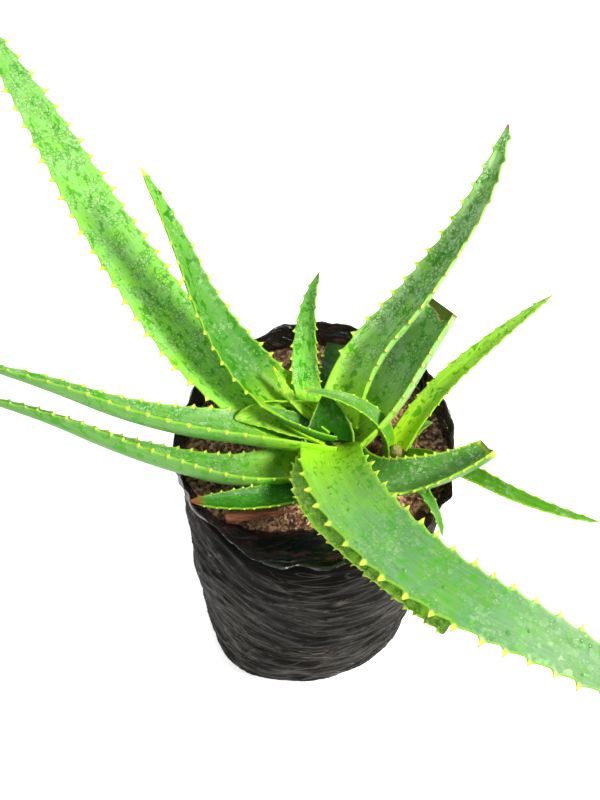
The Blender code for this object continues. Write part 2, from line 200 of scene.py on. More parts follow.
def cone_faces(first: int, columns: int, tip: int, flip: bool) -> list[Face]:
    """Triangles from a ring of points to one point.

    Args:
        first: the number of the ring's first point.
        columns: how many points are in the ring.
        tip: the number of the single point.
        flip: turns the triangles over.

    Returns:
        The triangles.
    """
    made = []
    for k in range(columns):
        j = (k + 1) % columns
        made.append((first + j, first + k, tip) if flip else (first + k, first + j, tip))
    return made


def capped_faces(rows: int, columns: int) -> list[Face]:
    """A grid whose first and last rings close on the two points that follow it.

    Args:
        rows: how many rows of points there are.
        columns: how many points are in a row.

    Returns:
        The quads and triangles.
    """
    total = rows * columns
    faces = grid_faces(rows, columns)
    faces += cone_faces(0, columns, total, True)
    faces += cone_faces(total - columns, columns, total + 1, False)
    return faces


def smooth(low: float, high: float, value: np.ndarray) -> np.ndarray:
    """Rises softly from 0 at low to 1 at high."""
    share = np.clip((value - low) / (high - low), 0.0, 1.0)
    return share * share * (3 - 2 * share)


def spread(values: tuple[float, ...], share: np.ndarray) -> np.ndarray:
    """Values spaced evenly over the length, read at shares from 0 to 1."""
    return np.interp(share, np.linspace(0.0, 1.0, len(values)), values)


def ripples(points: np.ndarray, grain: float) -> np.ndarray:
    """Soft noise about -1 to 1 at each point, with features of the given size in millimetres."""
    scaled = points / grain
    return np.array([noise.noise(Vector(p)) for p in scaled.tolist()])


class Tip(Enum):
    """How a leaf ends: its point's colour, or a cut."""

    GREEN = "#7FA53A"
    YELLOW = "#D8C24A"
    RED_BROWN = "#8A4526"
    DRY = "#7A3B20"
    CUT = "#6E5A30"
    CUT_GREEN = "#8CC040"
    CUT_LIME = "#A8BC3A"
    CUT_SHADED = "#1C3A0C"


@dataclass(frozen=True)
class BladeFields:
    """What a leaf's mesh tells its skin, as sockets of the material's node tree."""

    tree: Tree
    # Millimetres along and across the leaf
    grain: Socket
    # Shares of the length, of the half width and of the nearest tooth
    along: Socket
    across: Socket
    tooth: Socket
    # Millimetres to the leaf's end; then 1 on the upper face, and 1 where the skin is torn off
    to_end: Socket
    upper: Socket
    torn: Socket

    @classmethod
    def read(cls, tree: Tree) -> "BladeFields":
        """Adds the nodes that read the mesh's attributes.

        Args:
            tree: the material's node tree.

        Returns:
            The sockets.
        """
        grain, form, ends = (
            add_node(tree, "Attribute", {"attribute_name": label}).outputs["Vector"]
            for label in ("grain", "form", "ends")
        )
        form = add_node(tree, "SeparateXYZ", links={0: form}).outputs
        ends = add_node(tree, "SeparateXYZ", links={0: ends}).outputs
        return cls(tree, grain, form["X"], form["Y"], form["Z"], ends["X"], ends["Y"], ends["Z"])


@dataclass(frozen=True)
class LeafSkin:
    """Aloe epidermis, grown with a waxy bloom: satin, with juicy green where the wax is wet or rubbed away.

    The body colour runs from base over middle to far. The shares say how strong the bloom, the rubbed patches
    and the mist are. A lower patch_level makes more patches.
    """

    base: str
    middle: str
    far: str
    bloom: str = "#7CB670"
    rubbed: str = "#3C9A0C"
    wet_net: str = "#2C7210"
    frost: str = "#BCDCA8"
    # Painted highlight: the near-white glints of the spray dots
    spray: str = "#F2FAEE"
    margin: str = "#8CC222"
    tooth: str = "#C2DA4C"
    tooth_point: str = "#9A4A1E"
    torn: str = "#7C8A3E"
    torn_line: str = "#CFCB8E"
    bloom_share: float = 0.6
    patch_share: float = 0.75
    mist_share: float = 0.6
    patch_level: float = 0.57
    # Real sizes in millimetres: wax clouds, the gap between veins, rubbed patches, mist flecks and the areas
    # that they lie in, the gaps between drops and between spray dots, and the waver of the margin
    cloud_mm: float = 14.3
    vein_mm: float = 1.18
    patch_mm: float = 4.17
    fleck_mm: float = 2.38
    mist_mm: float = 11.1
    drop_mm: float = 5.0
    spray_mm: float = 2.0
    waver_mm: float = 3.33
    # The pebble of the skin's cells, about 0.1 mm in a real leaf, is drawn coarser so that it shows
    pebble_mm: float = 0.714
    # Cuticle wax: about 1.4, satin, and duller than clean wax where it is powdery
    ior: float = 1.42
    specular: float = 0.26
    wax_roughness: float = 0.46
    wet_roughness: float = 0.22
    # Light goes about 2 mm into the flesh and comes out greener
    flesh_share: float = 0.1
    flesh_colour: Triple = (0.6, 1.0, 0.3)
    flesh_depth: float = 0.002

    def material(self, leaf_name: str, tip: Tip, tip_length: float) -> Material:
        """Makes the skin of one leaf.

        Args:
            leaf_name: the leaf that it is for.
            tip: how the leaf ends.
            tip_length: how many millimetres of the end take the tip's colour.

        Returns:
            The material.
        """
        made, tree, shader = blank_material("aloe_skin_" + leaf_name)
        mesh = BladeFields.read(tree)
        colour, patches = self.rubbed_patches(mesh, self.body_colour(mesh))
        area = self.misted_area(mesh)
        colour = self.mist(mesh, colour, area, patches)
        colour, drops = self.drops(mesh, colour)
        colour = self.spray_glints(mesh, colour, area)
        colour = self.edges(mesh, colour, tip, tip_length)
        tree.links.new(colour, shader.inputs["Base Color"])
        self.relief(mesh, shader, patches, drops)
        shader.inputs["IOR"].default_value = self.ior
        shader.inputs["Specular IOR Level"].default_value = self.specular
        shader.inputs["Subsurface Weight"].default_value = self.flesh_share
        shader.inputs["Subsurface Radius"].default_value = self.flesh_colour
        shader.inputs["Subsurface Scale"].default_value = self.flesh_depth
        return made

    def body_colour(self, mesh: BladeFields) -> Socket:
        """Lime at the base to green at the tip, with clouds of wax and fine lengthwise veins.

        Args:
            mesh: what the mesh tells.

        Returns:
            The colour.
        """
        tree = mesh.tree
        ramp = add_node(tree, "ValToRGB", links={0: mesh.along})
        stops = ramp.color_ramp.elements
        stops[0].position = 0.02
        stops[0].color = paint(self.base)
        stops[1].position = 0.95
        stops[1].color = paint(self.far)
        stops.new(0.32).color = paint(self.middle)
        cloud = add_node(tree, "TexNoise", {"Scale": 1 / self.cloud_mm, "Detail": 5.0, "Roughness": 0.68},
                         {"Vector": mesh.grain})
        waxy = add_node(
            tree, "MapRange", SOFT | {"From Min": 0.38, "From Max": 0.58, "To Min": 0.1,
                                   "To Max": self.bloom_share},
            {"Value": cloud.outputs["Fac"]})
        # The under-side keeps its wax, and the clasped base has none
        under = add_node(tree, "MapRange", {"To Min": 0.55, "To Max": 0.0}, {"Value": mesh.upper})
        fullest = add_node(tree, "Math", LARGER, {0: waxy.outputs[0], 1: under.outputs[0]})
        grown = add_node(tree, "MapRange", SOFT | {"From Min": 0.04, "From Max": 0.34}, {"Value": mesh.along})
        share = add_node(tree, "Math", TIMES, {0: fullest.outputs[0], 1: grown.outputs[0]})
        mixed = add_node(tree, "Mix", RGBA | {MIX_B: paint(self.bloom)},
                         {0: share.outputs[0], MIX_A: ramp.outputs[0]})
        lengthwise = add_node(tree, "VectorMath", TIMES | {1: (0.03, 1 / self.vein_mm, 1.0)}, {0: mesh.grain})
        veins = add_node(tree, "TexNoise", {"Scale": 1.0, "Detail": 2.0}, {"Vector": lengthwise.outputs[0]})
        bright = add_node(tree, "MapRange",
                          {"From Min": 0.25, "From Max": 0.75, "To Min": 0.84, "To Max": 1.14},
                          {"Value": veins.outputs["Fac"]})
        hue = add_node(tree, "HueSaturation",
                       links={"Value": bright.outputs[0], "Color": mixed.outputs[MIX_RESULT]})
        return hue.outputs[0]

    def rubbed_patches(self, mesh: BladeFields, colour: Socket) -> tuple[Socket, Socket]:
        """Patches where the wax is wet through or rubbed away, a little longer than wide.

        Args:
            mesh: what the mesh tells.
            colour: the colour so far.

        Returns:
            The colour and the patches' share.
        """
        tree = mesh.tree
        lengthened = add_node(tree, "VectorMath", TIMES | {1: (0.7, 1.0, 1.0)}, {0: mesh.grain})
        blots = add_node(tree, "TexNoise", {"Scale": 1 / self.patch_mm, "Detail": 2.5, "Distortion": 0.5},
                         {"Vector": lengthened.outputs[0]})
        patch = add_node(
            tree, "MapRange", SOFT | {"From Min": self.patch_level, "From Max": self.patch_level + 0.06,
                                      "To Max": self.patch_share}, {"Value": blots.outputs["Fac"]})
        rubbed = add_node(tree, "Mix", RGBA | {MIX_B: paint(self.rubbed)},
                          {0: patch.outputs[0], MIX_A: colour})
        return rubbed.outputs[MIX_RESULT], patch.outputs[0]

    def misted_area(self, mesh: BladeFields) -> Socket:
        """Where mist lies: in areas of the upper face, beyond the clasped base.

        Args:
            mesh: what the mesh tells.

        Returns:
            The share of mist.
        """
        tree = mesh.tree
        areas = add_node(tree, "TexNoise", {"Scale": 1 / self.mist_mm, "Detail": 3.0}, {"Vector": mesh.grain})
        area = add_node(
            tree, "MapRange", SOFT | {"From Min": 0.36, "From Max": 0.58, "To Max": self.mist_share},
            {"Value": areas.outputs["Fac"]})
        grown = add_node(tree, "MapRange", {"From Min": 0.08, "From Max": 0.32, "To Min": 0.1},
                         {"Value": mesh.along})
        area = add_node(tree, "Math", TIMES, {0: area.outputs[0], 1: grown.outputs[0]})
        return add_node(tree, "Math", TIMES, {0: area.outputs[0], 1: mesh.upper}).outputs[0]

    def mist(self, mesh: BladeFields, colour: Socket, area: Socket, patches: Socket) -> Socket:
        """Pale frosty flecks with a dark net of wet skin between them.

        Args:
            mesh: what the mesh tells.
            colour: the colour so far.
            area: the share of mist.
            patches: the rubbed patches' share, where flecks are few.

        Returns:
            The colour.
        """
        tree = mesh.tree
        # Bent by up to 4 mm, so that the net isn't regular
        sway = add_node(tree, "TexNoise", {"Scale": 0.4, "Detail": 2.0}, {"Vector": mesh.grain})
        bent = add_node(tree, "VectorMath", TIMES_PLUS | {1: (4.0, 4.0, 0.0)},
                        {0: sway.outputs["Color"], 2: mesh.grain}).outputs[0]
        cells = add_node(tree, "TexVoronoi", {"feature": "DISTANCE_TO_EDGE", "Scale": 1 / self.fleck_mm},
                         {"Vector": bent})
        net = add_node(tree, "MapRange", SOFT | {"From Min": 0.2, "From Max": 0.03},
                       {"Value": cells.outputs["Distance"]})
        netted = add_node(tree, "Math", TIMES, {0: net.outputs[0], 1: area})
        flecks = add_node(tree, "TexVoronoi", {"Scale": 1 / self.fleck_mm}, {"Vector": bent})
        chance = add_node(tree, "SeparateColor", links={0: flecks.outputs["Color"]})
        pale = add_node(tree, "MapRange", {"From Min": 0.4, "To Max": 0.6}, {"Value": chance.outputs[0]})
        paled = add_node(tree, "Math", TIMES, {0: pale.outputs[0], 1: area})
        dry = add_node(tree, "Math", TIMES_PLUS | {1: -0.9, 2: 1.0}, {0: patches})
        paled = add_node(tree, "Math", TIMES, {0: paled.outputs[0], 1: dry.outputs[0]})
        frosted = add_node(tree, "Mix", RGBA | {MIX_B: paint(self.frost)},
                           {0: paled.outputs[0], MIX_A: colour})
        wetted = add_node(tree, "Mix", RGBA | {MIX_B: paint(self.wet_net)},
                          {0: netted.outputs[0], MIX_A: frosted.outputs[MIX_RESULT]})
        return wetted.outputs[MIX_RESULT]

    def drops(self, mesh: BladeFields, colour: Socket) -> tuple[Socket, Socket]:
        """Single drops of 2 to 3 mm on the upper face.

        Args:
            mesh: what the mesh tells.
            colour: the colour so far.

        Returns:
            The colour and the drops' height.
        """
        tree = mesh.tree
        cells = add_node(tree, "TexVoronoi", {"Scale": 1 / self.drop_mm}, {"Vector": mesh.grain})
        chance = add_node(tree, "SeparateColor", links={0: cells.outputs["Color"]})
        size = add_node(tree, "MapRange", {"From Min": 0.55, "To Max": 0.3}, {"Value": chance.outputs[0]})
        height = add_node(tree, "Math", {"operation": "SUBTRACT"},
                          {0: size.outputs[0], 1: cells.outputs["Distance"]})
        drop = add_node(tree, "MapRange", {"From Max": 0.12}, {"Value": height.outputs[0]})
        drop = add_node(tree, "Math", TIMES, {0: drop.outputs[0], 1: mesh.upper}).outputs[0]
        dim = add_node(tree, "Math", TIMES | {1: 0.35}, {0: drop})
        dropped = add_node(tree, "Mix", RGBA | {MIX_B: paint(self.rubbed)},
                           {0: dim.outputs[0], MIX_A: colour})
        return dropped.outputs[MIX_RESULT], drop

    def spray_glints(self, mesh: BladeFields, colour: Socket, area: Socket) -> Socket:
        """Painted glints of fine spray, as near-white dots of about 0.8 mm.

        Args:
            mesh: what the mesh tells.
            colour: the colour so far.
            area: the share of mist.

        Returns:
            The colour.
        """
        tree = mesh.tree
        cells = add_node(tree, "TexVoronoi", {"Scale": 1 / self.spray_mm}, {"Vector": mesh.grain})
        dot = add_node(tree, "MapRange", {"From Min": 0.24, "From Max": 0.14},
                       {"Value": cells.outputs["Distance"]})
        chance = add_node(tree, "SeparateColor", links={0: cells.outputs["Color"]})
        kept = add_node(tree, "MapRange", {"From Min": 0.66, "From Max": 0.72, "To Max": 0.7},
                        {"Value": chance.outputs[1]})
        dotted = add_node(tree, "Math", TIMES, {0: dot.outputs[0], 1: kept.outputs[0]})
        dotted = add_node(tree, "Math", TIMES, {0: dotted.outputs[0], 1: area})
        # Painted highlight: the kept dots take the near-white glint colour of the spray
        lit = add_node(tree, "Mix", RGBA | {MIX_B: paint(self.spray)}, {0: dotted.outputs[0], MIX_A: colour})
        return lit.outputs[MIX_RESULT]

    def edges(self, mesh: BladeFields, colour: Socket, tip: Tip, tip_length: float) -> Socket:
        """Yellow margins, cream teeth with brown points, the leaf's end and its torn face.

        Args:
            mesh: what the mesh tells.
            colour: the colour so far.
            tip: how the leaf ends.
            tip_length: how many millimetres of the end take the tip's colour.

        Returns:
            The colour.
        """
        tree = mesh.tree
        waver = add_node(tree, "TexNoise", {"Scale": 1 / self.waver_mm, "Detail": 2.0},
                         {"Vector": mesh.grain})
        shift = add_node(tree, "MapRange", {"To Min": -0.035, "To Max": 0.035},
                         {"Value": waver.outputs["Fac"]})
        edge = add_node(tree, "Math", {"operation": "ADD"}, {0: mesh.across, 1: shift.outputs[0]})
        rim = add_node(tree, "MapRange", SOFT | {"From Min": 0.93, "From Max": 0.995, "To Max": 0.65},
                       {"Value": edge.outputs[0]})
        horn = add_node(tree, "MapRange", SOFT | {"From Min": 0.25, "From Max": 0.6}, {"Value": mesh.tooth})
        point = add_node(tree, "MapRange", SOFT | {"From Min": 0.84, "From Max": 0.95}, {"Value": mesh.tooth})
        # The tip's colour ends in a ragged line
        ragged = add_node(tree, "MapRange", {"To Min": -2.5, "To Max": 2.5}, {"Value": waver.outputs["Fac"]})
        distance = add_node(tree, "Math", {"operation": "ADD"}, {0: mesh.to_end, 1: ragged.outputs[0]})
        last = add_node(
            tree, "MapRange", SOFT | {"From Min": tip_length, "From Max": tip_length * 0.35, "To Max": 0.95},
            {"Value": distance.outputs[0]})
        # The torn skin dries to a thin pale line
        line = add_node(tree, "Math", {"operation": "PINGPONG", 1: 0.5}, {0: mesh.torn})
        pale = add_node(tree, "MapRange", {"From Min": 0.12, "From Max": 0.4}, {"Value": line.outputs[0]})
        layers = (
            (self.margin, rim.outputs[0]),
            (self.tooth, horn.outputs[0]),
            (self.tooth_point, point.outputs[0]),
            (tip.value, last.outputs[0]),
            (self.torn, mesh.torn),
            (self.torn_line, pale.outputs[0]),
        )
        for shade, share in layers:
            mixed = add_node(tree, "Mix", RGBA | {MIX_B: paint(shade)}, {0: share, MIX_A: colour})
            colour = mixed.outputs[MIX_RESULT]
        return colour

    def relief(self, mesh: BladeFields, shader: Node, patches: Socket, drops: Socket) -> None:
        """Roughness and bump of wax, wet skin and drops.

        Args:
            mesh: what the mesh tells.
            shader: the Principled shader.
            patches: the rubbed patches' share.
            drops: the drops' height.
        """
        tree = mesh.tree
        waxy = add_node(tree, "MapRange", {"To Min": self.wax_roughness, "To Max": self.wet_roughness},
                        {"Value": patches})
        sleek = add_node(tree, "MapRange", {"To Min": 1.0, "To Max": 0.25}, {"Value": drops})
        rough = add_node(tree, "Math", TIMES, {0: waxy.outputs[0], 1: sleek.outputs[0]})
        tree.links.new(rough.outputs[0], shader.inputs["Roughness"])
        pebble = add_node(tree, "TexNoise", {"Scale": 1 / self.pebble_mm, "Detail": 2.0},
                          {"Vector": mesh.grain})
        skin = add_node(tree, "Bump", {"Strength": 0.35, "Distance": 0.00012},
                        {"Height": pebble.outputs["Fac"]})
        drop = add_node(tree, "Bump", {"Strength": 0.8, "Distance": 0.0006},
                        {"Height": drops, "Normal": skin.outputs[0]})
        tree.links.new(drop.outputs[0], shader.inputs["Normal"])


BLOOM_SKIN = LeafSkin(base="#92CC20", middle="#529A26", far="#589E36", bloom="#74A460", bloom_share=0.65)
LARGE_SKIN = LeafSkin(base="#7ED818", middle="#8AE236", far="#6CAC4C", bloom="#8CC676", bloom_share=0.6)
SPOTTED_SKIN = LeafSkin(base="#A2E01C", middle="#6EC22C", far="#6EBA44", bloom="#84C262", bloom_share=0.55,
                        patch_share=0.9, patch_level=0.55)
BACK_SKIN = LeafSkin(base="#A8E430", middle="#84C842", far="#8CC45C", bloom="#9CC68C", bloom_share=0.85,
                     mist_share=0.75)
TORN_SKIN = LeafSkin(base="#A4D838", middle="#7EB450", far="#78A852", bloom="#94B888", bloom_share=0.85,
                     mist_share=0.75)
FRONT_SKIN = LeafSkin(base="#98D820", middle="#5E9E3C", far="#1A520A", bloom="#5E8C66", bloom_share=0.66,
                      patch_share=0.6, mist_share=0.3)
MOTTLED_SKIN = LeafSkin(base="#B6EE0C", middle="#347A18", far="#72B844", bloom="#4A8838", bloom_share=0.45,
                        patch_share=0.9, mist_share=0.4, patch_level=0.55, rubbed="#2A760A",
                        specular=0.12, wet_roughness=0.34)
YELLOW_SKIN = LeafSkin(base="#ACE21E", middle="#9CD626", far="#8CC830", bloom="#9CCA54", bloom_share=0.3,
                       mist_share=0.35)
ARCH_SKIN = LeafSkin(base="#7EB022", middle="#4E8A22", far="#569228", bloom="#609248", bloom_share=0.6,
                     mist_share=0.35)
# Painted shade: dark green for the short front left leaf, which lies in the shadow of the leaves above it
SHADOWED_SHORT_SKIN = LeafSkin(base="#1E5A08", middle="#1E5C06", far="#2C6E08", bloom="#2A6012", bloom_share=0.3,
                      patch_share=0.5, mist_share=0.35, frost="#5C9A48", margin="#7CB01C")
THIN_SKIN = LeafSkin(base="#4E8012", middle="#46820A", far="#46820A", bloom="#54842A", bloom_share=0.3,
                     patch_share=0.4, mist_share=0.3)
OLIVE_SKIN = LeafSkin(base="#3F7622", middle="#427A26", far="#5E9A18", bloom="#64904A", bloom_share=0.55,
                      patch_share=0.45, mist_share=0.7, margin="#9CC81E")
FOLDED_SKIN = LeafSkin(base="#4E8A18", middle="#B0EC48", far="#BCF04C", bloom="#B4DC84", bloom_share=0.4,
                       patch_share=0.5, margin="#BCE444")
DARK_SKIN = LeafSkin(base="#3A7C10", middle="#34720E", far="#4A8C1C", bloom="#4A8436", bloom_share=0.25,
                     patch_share=0.3, mist_share=0.4, margin="#86BC24")
SHADE_SKIN = LeafSkin(base="#22600A", middle="#1E560A", far="#2A6810", bloom="#2C621C", bloom_share=0.2,
                      patch_share=0.2, mist_share=0.2, margin="#9CC858")
# Painted shade: a nearly black green for the cut leaf at the back, which lies in deep shadow
SHADOWED_BACK_SKIN = LeafSkin(base="#123E06", middle="#103806", far="#143E08", bloom="#184010", bloom_share=0.15,
                      patch_share=0.2, mist_share=0.1, margin="#1E4A0C")
DRY_SKIN = LeafSkin(base="#7A7A3A", middle="#6F8A2C", far="#5C8A1E", bloom="#8A8A5A", bloom_share=0.3,
                    rubbed="#4F6A1C", patch_share=0.3, mist_share=0.2, margin="#8C9A3C")


@dataclass
class AloeLeaf:
    """One leaf as a crescent-shaped blade with teeth down both margins. Millimetres and degrees."""

    name: str
    # Where the midrib leaves the stem, the length and width over the curve, and the thickness at the root
    root: Triple
    length: float
    width: float
    thick: float
    # Spaced evenly over the length: compass heading, rise, roll, and half of the section's arc
    heading: tuple[float, ...]
    rise: tuple[float, ...]
    roll: tuple[float, ...]
    channel: tuple[float, ...]
    # How far along the blade stays wide, and its length before it was cut, or 0
    fullness: float = 1.5
    whole: float = 0.0
    # The teeth's pitch and height, and the bare run at the base
    pitch: float = 11.0
    tooth: float = 2.8
    bare: float = 26.0
    # Height of pleats, length of torn upper skin, and how far the base clasps behind the root
    pleat: float = 0.0
    torn: float = 0.0
    sheath: float = 0.0
    skin: LeafSkin = BLOOM_SKIN
    tip: Tip = Tip.GREEN
    tip_length: float = 5.0
    slot: str = "leaf_bloom_green"

    # Places across half of the blade, closer together towards the margin
    HALF = (0.0, 0.17, 0.33, 0.48, 0.62, 0.74, 0.84, 0.91, 0.96, 1.0)
    # The rings stand about this far apart
    RING_GAP = 1.6
    # Thickness of the margin, and of the lower skin where the upper is torn off
    EDGE = 1.0
    LEFT_THICK = 0.7
    # The flesh's shares above and below the blade's middle surface
    ABOVE = 0.36
    BELOW = 0.64
    # The blade sinks by this share of its section's depth
    SETTLE = 0.8
    # The thickness falls by this share towards the tip
    TAPER = 0.62
    # A grown point narrows over the first length and thins over the second
    POINT_RUN = 5.0
    THIN_RUN = 9.0
    LEAST_WIDTH = 1.8
    # Height and length of the upper face's gentle unevenness
    WOBBLE = 0.5
    WOBBLE_RUN = 20.0
    # Teeth turn outwards from the margin by this share of their height, and down by the second share of that
    SPLAY = 0.45
    DROOP = 0.7

    @property
    def full_length(self) -> float:
        """The length before any cut."""
        return self.whole or self.length

    @property
    def seed(self) -> int:
        """A steady number made from the leaf's name."""
        return sum(ord(letter) * (k + 3) for k, letter in enumerate(self.name))

    def stations(self) -> tuple[np.ndarray, float]:
        """Where the blade's rings lie.

        Returns:
            Distances along the midrib, and half the tooth pitch.
        """
        gap = self.length / (2 * round(self.length / self.pitch))
        parts = max(4, 2 * round(gap / self.RING_GAP))
        count = round(self.length / gap) * parts
        step = self.length / count
        clasped = int(self.sheath / step)
        return np.linspace(-clasped * step, self.length, count + clasped + 1), gap

    def midrib(self, s: np.ndarray) -> tuple[np.ndarray, np.ndarray, np.ndarray]:
        """The curve that the blade follows.

        Args:
            s: distances along it.

        Returns:
            Points, and directions sideways and out of the upper face.
        """
        fine = np.linspace(0.0, self.length, 121)
        way = self.forward(fine / self.length)
        steps = (way[:-1] + way[1:]) / 2 * (fine[1] - fine[0])
        path = np.array(self.root) + np.vstack([np.zeros(3), np.cumsum(steps, 0)])
        points = np.stack([np.interp(s, fine, path[:, k]) for k in range(3)], 1)
        points = points + np.minimum(s, 0.0)[:, None] * way[0]
        share = np.clip(s / self.length, 0, 1)
        head = np.radians(spread(self.heading, share))
        roll = np.radians(spread(self.roll, share))
        side = np.stack([-np.sin(head), np.cos(head), np.zeros_like(head)], 1)
        normal = np.cross(self.forward(share), side)
        c, w = np.cos(roll)[:, None], np.sin(roll)[:, None]
        return points, side * c + normal * w, normal * c - side * w

    def forward(self, share: np.ndarray) -> np.ndarray:
        """Unit directions of the midrib.

        Args:
            share: shares of its length.

        Returns:
            One row for each share.
        """
        head = np.radians(spread(self.heading, share))
        rise = np.radians(spread(self.rise, share))
        return np.stack([np.cos(rise) * np.cos(head), np.cos(rise) * np.sin(head), np.sin(rise)], 1)

    def tooth_height(self, s: float) -> float:
        """How far a tooth stands out. Teeth are full 24 mm past the bare base, until 70 mm from the tip.

        Args:
            s: distance along the leaf.

        Returns:
            The tooth's height.
        """
        if s < self.bare or s > self.full_length - 5 or s > self.length - 4:
            return 0.0
        near = min(1.0, 0.6 + (s - self.bare) / 60)
        far = min(1.0, 0.45 + (self.full_length - s) / 130)
        return self.tooth * min(near, far)

    def margin(self, s: np.ndarray, gap: float, start: float) -> tuple[np.ndarray, np.ndarray]:
        """The toothed outline of one margin.

        Args:
            s: distances along the leaf.
            gap: half the tooth pitch.
            start: the first tooth's place, in gaps.

        Returns:
            How far the margin stands out, and each place's share of its tooth.
        """
        rng = random.Random(self.seed + int(start * 10))
        stand = np.zeros_like(s)
        step = s[1] - s[0]
        place = start * gap
        while place < self.length:
            full = self.tooth_height(place) * rng.uniform(0.8, 1.12)
            apex = place + step * rng.choice((-1, 0, 0, 1))
            off = (s - apex) / (2 * gap)
            # A narrow spike stands on a broad foot, which is short behind it and long towards the tip
            foot = np.where(off < 0, -off / 0.2, off / 0.78)
            spike = np.where(off < 0, -off / 0.08, off / 0.2)
            shape = 0.42 * np.clip(1 - foot, 0, 1) ** 1.5 + 0.58 * np.clip(1 - spike, 0, 1) ** 1.15
            stand = np.maximum(stand, full * shape)
            place += 2 * gap
        return stand, np.clip(stand / max(self.tooth, 0.1), 0, 1)

    def sections(self, s: np.ndarray) -> tuple[np.ndarray, np.ndarray, np.ndarray, np.ndarray]:
        """Sizes of the cross-section along the leaf.

        Args:
            s: distances along it.

        Returns:
            Width over the curve, thickness, the share of it left at a grown point, and the curve's radius.
        """
        t = np.clip(s / self.full_length, 0, 1)
        to_end = self.length - s
        cut = self.full_length > self.length
        point = 1.0 if cut else np.clip(to_end / self.POINT_RUN, 0.12, 1)
        width = np.maximum(self.width * (1 - t ** self.fullness) ** 0.75, self.LEAST_WIDTH * point)
        thick = np.maximum(self.thick * (1 - self.TAPER * t), self.EDGE + 0.4)
        thin = np.ones_like(s) if cut else np.clip(to_end / self.THIN_RUN, 0.3, 1)
        bend = np.radians(spread(self.channel, np.clip(s / self.length, 0, 1)))
        return width, thick, thin, np.maximum(width / 2 / bend, thick + 1.2)

    def blade(self) -> tuple[np.ndarray, dict[str, np.ndarray]]:
        """Rings of points round the blade with what its skin needs to know.

        Returns:
            Points by ring and place, and the attributes in the same order.
        """
        s, gap = self.stations()
        points, side, normal = self.midrib(s)
        width, thick, thin, radius = self.sections(s)
        bend = width / 2 / radius
        settle = self.SETTLE * radius * (1 - np.cos(np.minimum(bend, 1.4)))
        left, right = self.margin(s, gap, 0.5), self.margin(s, gap, 1.5)
        pleats = self.pleat * np.sin(np.pi * s / gap)
        t = np.clip(s / self.full_length, 0, 1)
        across = np.array([-u for u in reversed(self.HALF[1:])] + list(self.HALF))
        # Up one face from margin to margin, round the margin, back along the other, and round again
        columns = [(u, 1) for u in across] + [(1.0, 0)] + [(u, -1) for u in across[::-1]] + [(-1.0, 0)]
        wobble = self.wobble(s, across)
        rings, grain, form, ends = [], [], [], []
        for u, face in columns:
            stand, share = left if u < 0 else right
            near_margin = float(smooth(0.8, 1.0, np.array(abs(u))))
            edge = self.EDGE * (1 - 0.72 * share * near_margin) * thin
            out = width / 2 * abs(u) + stand * near_margin
            if face == 0:
                out = out + 0.35 * edge
            body = (thick - self.EDGE) * (1 - u * u) ** 0.7 * thin
            rise = self.face_rise(edge, body, face)
            if face > 0:
                rise = rise + wobble[abs(across - u).argmin()] * (1 - u * u)
            tear, torn = self.tear(s, u, face)
            rise = rise * (1 - tear) + (-edge / 2 - self.BELOW * body + self.LEFT_THICK) * tear
            a = np.sign(u) * out / radius
            splay = self.SPLAY * stand * near_margin
            x = radius * np.sin(a) - np.sin(a) * rise + np.sign(u) * splay
            y = radius * (1 - np.cos(a)) - settle + np.cos(a) * rise + pleats * u * u - self.DROOP * splay
            rings.append(points + side * x[:, None] + normal * y[:, None])
            grain.append(np.stack([s, out * np.sign(u), np.full_like(s, self.seed % 97 + 40.0 * face)], 1))
            form.append(np.stack([t, np.full_like(s, abs(u)), share * near_margin], 1))
            ends.append(np.stack([self.length - s, np.full_like(s, max(0.0, float(face))), torn], 1))
        fields = {
            "grain": np.stack(grain, 1),
            "form": np.stack(form, 1),
            "ends": np.stack(ends, 1),
        }
        return np.stack(rings, 1), fields

    def face_rise(self, edge: np.ndarray, body: np.ndarray, face: int) -> np.ndarray:
        """How far a face lies above the blade's middle surface.

        Args:
            edge: thickness that the margin has too.
            body: thickness of the flesh besides.
            face: 1 above, 0 at the margin, -1 below.

        Returns:
            The rise along the leaf.
        """
        if face > 0:
            return edge / 2 + self.ABOVE * body
        if face < 0:
            return -edge / 2 - self.BELOW * body
        return np.zeros_like(edge)

    def wobble(self, s: np.ndarray, across: np.ndarray) -> np.ndarray:
        """Gentle unevenness of the upper face.

        Args:
            s: distances along the leaf.
            across: places across it.

        Returns:
            Heights, one row for each place across.
        """
        rows = []
        for u in across:
            flat = np.ones_like(s)
            places = np.stack([s / self.WOBBLE_RUN, flat * u * 1.8, flat * self.seed * 0.37], 1)
            rows.append(self.WOBBLE * ripples(places, 1.0))
        return np.array(rows)

    def tear(self, s: np.ndarray, u: float, face: int) -> tuple[np.ndarray, np.ndarray]:
        """Where the upper skin is torn off beyond a wavy line.

        Args:
            s: distances along the leaf.
            u: place across it.
            face: 1 above, 0 at the margin, -1 below.

        Returns:
            How far the face drops to the lower skin, and the torn share.
        """
        if not self.torn or face < 1:
            return np.zeros_like(s), np.zeros_like(s)
        line = self.length - self.torn * (0.7 + 0.22 * math.sin(4.1 * u + 0.8) + 0.12 * math.sin(9 * u))
        share = smooth(0.0, 1.0, s - line)
        return share * (1 - u ** 6), share

    def build(self) -> Piece:
        """Builds the blade's closed mesh, dresses it and puts it in its node's place.

        Returns:
            The leaf.
        """
        rings, fields = self.blade()
        count, ring = rings.shape[:2]
        points = np.vstack([rings.reshape(-1, 3), rings[0].mean(0), rings[-1].mean(0)])
        for label, rows in fields.items():
            flat = rows.reshape(-1, 3)
            fields[label] = np.vstack([flat, flat[:ring].mean(0), flat[-ring:].mean(0)])
        made = mesh_piece(self.name + "_blade", points, capped_faces(count, ring), fields)
        turn_outwards(made)
        made.data.materials.append(self.skin.material(self.name, self.tip, self.tip_length))
        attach(made, "root")
        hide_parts(self.name)
        return made


